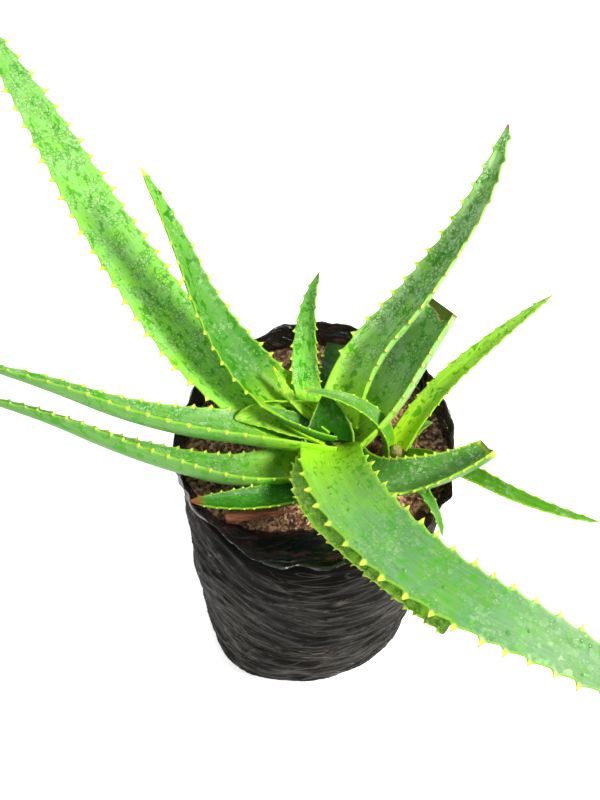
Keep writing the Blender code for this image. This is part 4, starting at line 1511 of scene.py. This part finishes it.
@dataclass
class Compost:
    """The compost that fills the bag: its crumbly top, loose crumbs, straw and a chip of bark."""

    bag: NurseryBag
    # Heights of its top and foot, and the points round it and along a radius of the top
    top: float = 215.0
    floor: float = 6.0
    columns: int = 420
    rings: int = 84
    # Height of the soft swells, and of the heap at the back between two distances behind the middle
    swell: float = 0.96
    heap: float = 11.0
    heap_run: Pair = (15.0, 88.0)
    # How many loose bits lie on it
    crumbs: int = 520
    grit: int = 90
    straws: int = 26
    seed: int = 41

    CRUMB_RADII = (0.9, 1.2, 1.6, 2.2, 2.9)
    GRIT_RADII = (0.35, 0.45, 0.6)
    # Height and depth inside the film of the bed's sides, which stay clear of its creases of up to 4 mm
    SIDES = ((6.0, 12.0), (12.0, 8.0), (100.0, 6.5), (198.0, 7.0), (207.0, 7.0))

    def heap_height(self, y: np.ndarray) -> np.ndarray:
        """How far the heap rises at each distance behind the middle."""
        return self.heap * smooth(*self.heap_run, y)

    def height(self, x: np.ndarray, y: np.ndarray) -> np.ndarray:
        """Height of the crumbly top.

        Args:
            x: distances to the right.
            y: distances to the back.

        Returns:
            The height at each place.
        """
        wave = np.sin(x / 9.0 + 1.3) * np.cos(y / 8.0) + 0.6 * np.sin(x / 5.0 - y / 7.0)
        places = np.stack([x.ravel(), y.ravel(), np.zeros(x.size)], 1)
        clods = ripples(places, 6.0) * 1.5 + ripples(places + 50, 2.6) * 0.9
        lumps = np.array([noise.voronoi(Vector(p))[0][0] for p in (places / 3.2).tolist()])
        made = clods + (0.45 - lumps) * 1.5
        return self.top + self.swell * wave + self.heap_height(y) + made.reshape(x.shape)

    def build_bed(self) -> Piece:
        """Builds the closed bed of compost.

        Returns:
            The bed.
        """
        azimuth = np.arange(self.columns) * 360.0 / self.columns
        a = np.radians(azimuth)
        edge = self.film_edge(azimuth)
        rows = []
        for z, depth in self.SIDES:
            r = np.minimum(self.bag.inner_radius(azimuth, z) - depth, 200)
            x = self.bag.centre(np.array(z)) + r * np.cos(a)
            rows.append(np.stack([x, r * np.sin(a), np.full_like(a, z)], 1))
        for share in 1 - np.linspace(0, 1, self.rings + 1)[:-1]:
            x, y = edge * share * np.cos(a), edge * share * np.sin(a)
            z = self.height(x, y) - 1.0 * smooth(0.93, 1.0, np.array(share))
            rows.append(np.stack([x, y, z], 1))
        points = np.vstack(rows)
        centre = np.array([[self.bag.foot_shift, 0.0, self.floor], [0.0, 0.0, self.top]])
        points = np.vstack([points, centre])
        made = mesh_piece("compost_bed", points, capped_faces(len(rows), self.columns))
        turn_outwards(made)
        made.data.materials.append(MoistCompost().material())
        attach(made, "root")
        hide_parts("soil")
        return made

    def film_edge(self, azimuth: np.ndarray) -> np.ndarray:
        """Radius at which the top meets the crumpled film.

        Args:
            azimuth: degrees.

        Returns:
            A radius that lies within the film's thickness.
        """
        z = self.top - 1.0 + self.heap_height(self.bag.radius * np.sin(np.radians(azimuth)))
        curves = self.bag.dense(azimuth)
        r = np.array([np.interp(high, curve[:, 1], curve[:, 0]) for high, curve in zip(z, curves)])
        return r + self.bag.creases(azimuth, z)[0] - 0.5 * self.bag.film

    def spots(self, rng: random.Random, count: int, reach: float) -> list[Pair]:
        """Random places on the compost, clear of the film.

        Args:
            rng: the seeded source of chance.
            count: how many places.
            reach: how far from the film they stay.

        Returns:
            The places.
        """
        made = []
        while len(made) < count:
            azimuth = rng.uniform(0, 360)
            limit = float(self.bag.inner_radius(np.array([azimuth]), self.top)[0]) - reach
            r = limit * math.sqrt(rng.random())
            a = math.radians(azimuth)
            made.append((r * math.cos(a), r * math.sin(a)))
        return made

    def lumps(
        self, name: str, sizes: list[float], places: list[Pair], rng: random.Random, squash: float
    ) -> Piece:
        """Builds loose rounded lumps as one mesh.

        Args:
            name: the piece's name.
            sizes: radius of each lump.
            places: where each lump lies.
            rng: the seeded source of chance.
            squash: height over width.

        Returns:
            The lumps.
        """
        work = bmesh.new()
        bmesh.ops.create_icosphere(work, subdivisions=2, radius=1.0)
        ball = np.array([v.co for v in work.verts])
        ball_faces = np.array([[v.index for v in f.verts] for f in work.faces])
        work.free()
        ground = self.height(np.array([p[0] for p in places]), np.array([p[1] for p in places]))
        points, faces = [], []
        for k, (size, (x, y)) in enumerate(zip(sizes, places)):
            rough = ball * (1 + 0.42 * ripples(ball * 1.3 + k * 7.1, 1.0))[:, None]
            stretch = (rng.uniform(0.75, 1.3), rng.uniform(0.7, 1.1), squash * rng.uniform(0.8, 1.2))
            rough = rough * np.array(stretch)
            turn = np.array(Matrix.Rotation(rng.uniform(0, math.tau), 3, "Z")
                            @ Matrix.Rotation(rng.uniform(-0.5, 0.5), 3, "X"))
            shift = np.array([x, y, ground[k] + 0.35 * size * squash])
            faces += (ball_faces + len(points) * len(ball)).tolist()
            points.append(rough @ turn.T * size + shift)
        return mesh_piece(name, np.vstack(points), faces)

    def build_loose(self) -> list[Piece]:
        """Builds the crumbs, pale grit, straw and bark chip.

        Returns:
            The pieces.
        """
        rng = random.Random(self.seed)
        sizes = [rng.choice(self.CRUMB_RADII) for _ in range(self.crumbs)]
        crumbs = self.lumps("compost_crumbs", sizes, self.spots(rng, self.crumbs, 4.0), rng, 0.75)
        crumb_look = MoistCompost("compost_crumb", "#2A1911", "#765040", "#D4B090", 0.9)
        crumbs.data.materials.append(crumb_look.material())
        sizes = [rng.choice(self.GRIT_RADII) for _ in range(self.grit)]
        grit = self.lumps("pale_grit", sizes, self.spots(rng, self.grit, 4.0), rng, 0.9)
        grit_look = DryFibre("sand_grit", "#A48B70", "#D9C8AC", 0.3, (1, 1, 1), 0.6)
        grit.data.materials.append(grit_look.material())
        straw = self.build_straw(rng)
        chip = self.build_chip()
        pieces = [crumbs, grit, straw, chip]
        for piece in pieces:
            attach(piece, "root")
        return pieces

    def build_straw(self, rng: random.Random) -> Piece:
        """Builds the bits of straw that lie on the compost.

        Args:
            rng: the seeded source of chance.

        Returns:
            The straw.
        """
        rings, sides = 9, 6
        places = self.spots(rng, self.straws, 12.0)
        starts = [(place, rng.uniform(0, math.tau), rng.uniform(5, 15), 0.3) for place in places]
        # Two longer stalks lie right of the offset
        starts.append(((68.0, 4.0), -0.75, 24.0, 0.8))
        starts.append(((72.0, 12.0), -1.9, 14.0, 0.5))
        points, faces, total = [], [], 0
        for (x, y), heading, length, thick in starts:
            at = np.linspace(0, 1, rings)
            turn = heading + rng.uniform(-0.5, 0.5) * at
            step = length / (rings - 1)
            xs = x + np.concatenate([[0], np.cumsum(np.cos(turn[:-1]) * step)])
            ys = y + np.concatenate([[0], np.cumsum(np.sin(turn[:-1]) * step)])
            zs = self.height(xs, ys)
            zs = np.maximum(zs, np.interp(at, [0, 0.5, 1], [zs[0], zs.mean() + 0.8, zs[-1]])) + thick
            for k in range(rings):
                side = np.array([-math.sin(turn[k]), math.cos(turn[k]), 0.0])
                taper = thick * (1 - 0.5 * at[k])
                for c in range(sides):
                    angle = math.tau * c / sides
                    around = side * math.cos(angle) + np.array([0, 0, 1.0]) * math.sin(angle)
                    points.append(np.array([xs[k], ys[k], zs[k]]) + taper * around)
            faces += grid_faces(rings, sides, total)
            faces.append(tuple(total + c for c in reversed(range(sides))))
            faces.append(tuple(total + (rings - 1) * sides + c for c in range(sides)))
            total += rings * sides
        made = mesh_piece("straw_bits", np.array(points), faces)
        look = DryFibre("dry_straw", "#8C6A42", "#C9A877", 0.5, (0.3, 0.3, 1.0))
        made.data.materials.append(look.material())
        return made

    def build_chip(self) -> Piece:
        """Builds the chip of bark that lies in front of the rosette, left of the middle.

        Returns:
            The chip.
        """
        across, along = 14, 34
        points = []
        for i in range(along):
            share = i / (along - 1)
            # Blunt at its left end, narrower and thinner to the right
            wide = 4.4 * math.sin(math.pi * min(1.0, share * 1.15 + 0.1)) ** 0.5 * (1 - 0.25 * share)
            for k in range(across):
                angle = math.tau * k / across
                x = -58 + 44 * share
                y = -55 + 4 * share + wide * math.cos(angle)
                z = 218.4 + 1.5 * share + 2.6 * math.sin(angle) * (1 - 0.4 * share)
                points.append((x, y, z))
        points = np.array(points)
        points[:, 1:] += 0.7 * ripples(points, 3.2)[:, None]
        faces = grid_faces(along, across)
        faces.append(tuple(reversed(range(across))))
        faces.append(tuple((along - 1) * across + k for k in range(across)))
        made = mesh_piece("bark_chip", points, faces)
        turn_outwards(made)
        look = DryFibre("bark_chip_red", "#6E3420", "#C4805E", 0.9, (0.12, 1, 1))
        made.data.materials.append(look.material())
        return made


@dataclass
class Stems:
    """The two stems, which keep their solids, and the dry hollow stub of a flower stalk."""

    # The stub's place and top, its foot in the compost, and the radii of its wall
    stub: Triple = (38.7, -4.7, 222.5)
    stub_foot: float = 207.0
    stub_radius: float = 5.0
    stub_bore: float = 3.1

    def dress(self, frame: dict) -> None:
        """Gives the stems their bark.

        Args:
            frame: the loaded frame.
        """
        bark = DryFibre("aloe_stem_bark", "#4F4326", "#93854F", 1.0, (1.0, 1.0, 2.2), 0.75)
        pale = DryFibre("offset_stem_bark", "#6F6A34", "#A9A45C", 1.0, (1.0, 1.0, 1.8), 0.7)
        for node, look in (("main_stem", bark), ("offset_stem", pale)):
            held = frame["nodes"][node].data
            made = look.material()
            held.materials.clear()
            held.materials.append(made)
            held.shade_smooth()

    def build_stub(self) -> Piece:
        """Builds the stub with its frayed rim.

        Returns:
            The stub.
        """
        x0, y0, high = self.stub
        columns = 48
        a = np.arange(columns) * math.tau / columns
        fray = np.array([noise.noise(Vector((math.cos(v) * 2.2, math.sin(v) * 2.2, 3.0))) for v in a])
        rows = []
        for share in np.linspace(0, 1, 12):
            z = self.stub_foot + (high - self.stub_foot) * share + fray * 1.6 * share ** 3
            r = self.stub_radius + 0.35 * fray + 0.16 * np.sin(9 * a)
            rows.append(np.stack([x0 + r * np.cos(a), y0 + r * np.sin(a), z], 1))
        for share in np.linspace(1, 0.2, 8):
            z = self.stub_foot + (high - self.stub_foot) * share + fray * 1.3 * share ** 3 - 0.3
            r = self.stub_bore + 0.4 * share + 0.2 * np.sin(7 * a + 1)
            rows.append(np.stack([x0 + r * np.cos(a), y0 + r * np.sin(a), z], 1))
        points = np.vstack(rows + [np.array([[x0, y0, self.stub_foot], [x0, y0, self.stub_foot + 3]])])
        made = mesh_piece("flower_stalk_stub", points, capped_faces(len(rows), columns))
        turn_outwards(made)
        made.data.materials.append(DryFibre("dry_stalk_pith", "#A0583A", "#EAB08A", 0.7).material())
        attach(made, "root")
        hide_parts("stalk_stub")
        return made


@dataclass
class Studio:
    """The plain pale floor, the soft lights and the camera."""

    camera_mm: Triple = (-10.6, -266.7, 586.7)
    # Degrees from straight down, so 50 below level
    camera_tilt: float = 40.0
    # Focal length on a sensor 36 mm wide
    lens: float = 29.7
    # Half of the floor's side
    floor_half: float = 4000.0

    def build(self) -> None:
        """Builds the floor, lights, sky and camera."""
        floor = self.build_floor()
        self.add_light("key_softbox", (0.85, -0.4, 1.05), 26.0, 0.3, "#FFF9EA")
        self.add_light("fill_softbox", (-0.6, -1.3, 1.1), 5.0, 1.0, "#FFFEFA")
        self.add_light("back_strip", (-0.35, 0.9, 1.3), 4.0, 0.1, "#F4F8FF")
        self.add_light("top_softbox", (0.0, 0.1, 1.9), 5.5, 1.2, "#FFFFFF")
        world = bpy.data.worlds.new("white_studio")
        world.use_nodes = True
        tree = world.node_tree
        tree.nodes.clear()
        sky = add_node(tree, "Background", {"Color": paint("#FFFFFF"), "Strength": 0.3})
        add_node(tree, "OutputWorld", links={"Surface": sky.outputs[0]})
        scene = bpy.context.scene
        scene.world = world
        scene.view_settings.view_transform = "Standard"
        data = bpy.data.cameras.new("photo_camera")
        data.lens = self.lens
        data.sensor_width = 36.0
        data.clip_start = 0.01
        camera = bpy.data.objects.new("photo_camera", data)
        camera.location = [MM * v for v in self.camera_mm]
        camera.rotation_euler = (math.radians(self.camera_tilt), 0.0, 0.0)
        scene.collection.objects.link(camera)
        scene.camera = camera

    def build_floor(self) -> Piece:
        """Builds the floor with its soft grain.

        Returns:
            The floor.
        """
        half = self.floor_half
        corners = np.array([(-half, -half, 0), (half, -half, 0), (half, half, 0), (-half, half, 0)], float)
        floor = mesh_piece("studio_floor", corners, [(0, 1, 2, 3)])
        made, tree, shader = blank_material("white_card")
        grain = add_node(tree, "TexNoise", {"Scale": 6.0, "Detail": 2.0},
                         {"Vector": add_node(tree, "TexCoord").outputs["Object"]})
        colour = add_node(tree, "Mix", RGBA | {MIX_A: paint("#F6F6F5"), MIX_B: paint("#FCFCFB")},
                          {0: grain.outputs["Fac"]})
        tree.links.new(colour.outputs[MIX_RESULT], shader.inputs["Base Color"])
        shader.inputs["Roughness"].default_value = 0.9
        # A lit card, so that it reads as white paper
        shader.inputs["Emission Color"].default_value = paint("#FFFFFF")
        shader.inputs["Emission Strength"].default_value = 0.62
        floor.data.materials.append(made)
        return floor

    def add_light(self, name: str, place: Triple, power: float, size: float, colour: str) -> None:
        """Adds a square softbox that faces the plant.

        Args:
            name: the light's name.
            place: where it hangs, in metres.
            power: watts.
            size: side of the square, in metres.
            colour: sRGB hex colour.
        """
        data = bpy.data.lights.new(name, "AREA")
        data.energy = power
        data.size = size
        data.color = paint(colour)[:3]
        lamp = bpy.data.objects.new(name, data)
        lamp.location = place
        aim = Vector((0.0, 0.0, 0.2)) - Vector(place)
        lamp.rotation_euler = aim.to_track_quat("-Z", "Y").to_euler()
        bpy.context.scene.collection.objects.link(lamp)


@dataclass
class PottedAloe:
    """The whole plant in its bag."""

    bag: NurseryBag = field(default_factory=NurseryBag)
    stems: Stems = field(default_factory=Stems)
    leaves: list[AloeLeaf] = field(default_factory=leaf_rows)

    def build(self, frame: dict) -> None:
        """Builds every piece and reports it.

        Args:
            frame: the loaded frame.
        """
        made = [self.bag.build()]
        compost = Compost(self.bag)
        made.append(compost.build_bed())
        made += compost.build_loose()
        self.stems.dress(frame)
        made.append(self.stems.build_stub())
        made += [leaf.build() for leaf in self.leaves]
        for piece in made:
            LOG.info("%s: %d faces", piece.name, len(piece.data.polygons))


def main() -> None:
    """Loads the frame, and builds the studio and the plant."""
    logging.basicConfig(level=logging.INFO, format="%(name)s %(message)s")
    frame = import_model()
    Studio().build()
    PottedAloe().build(frame)


if __name__ == "__main__":
    main()
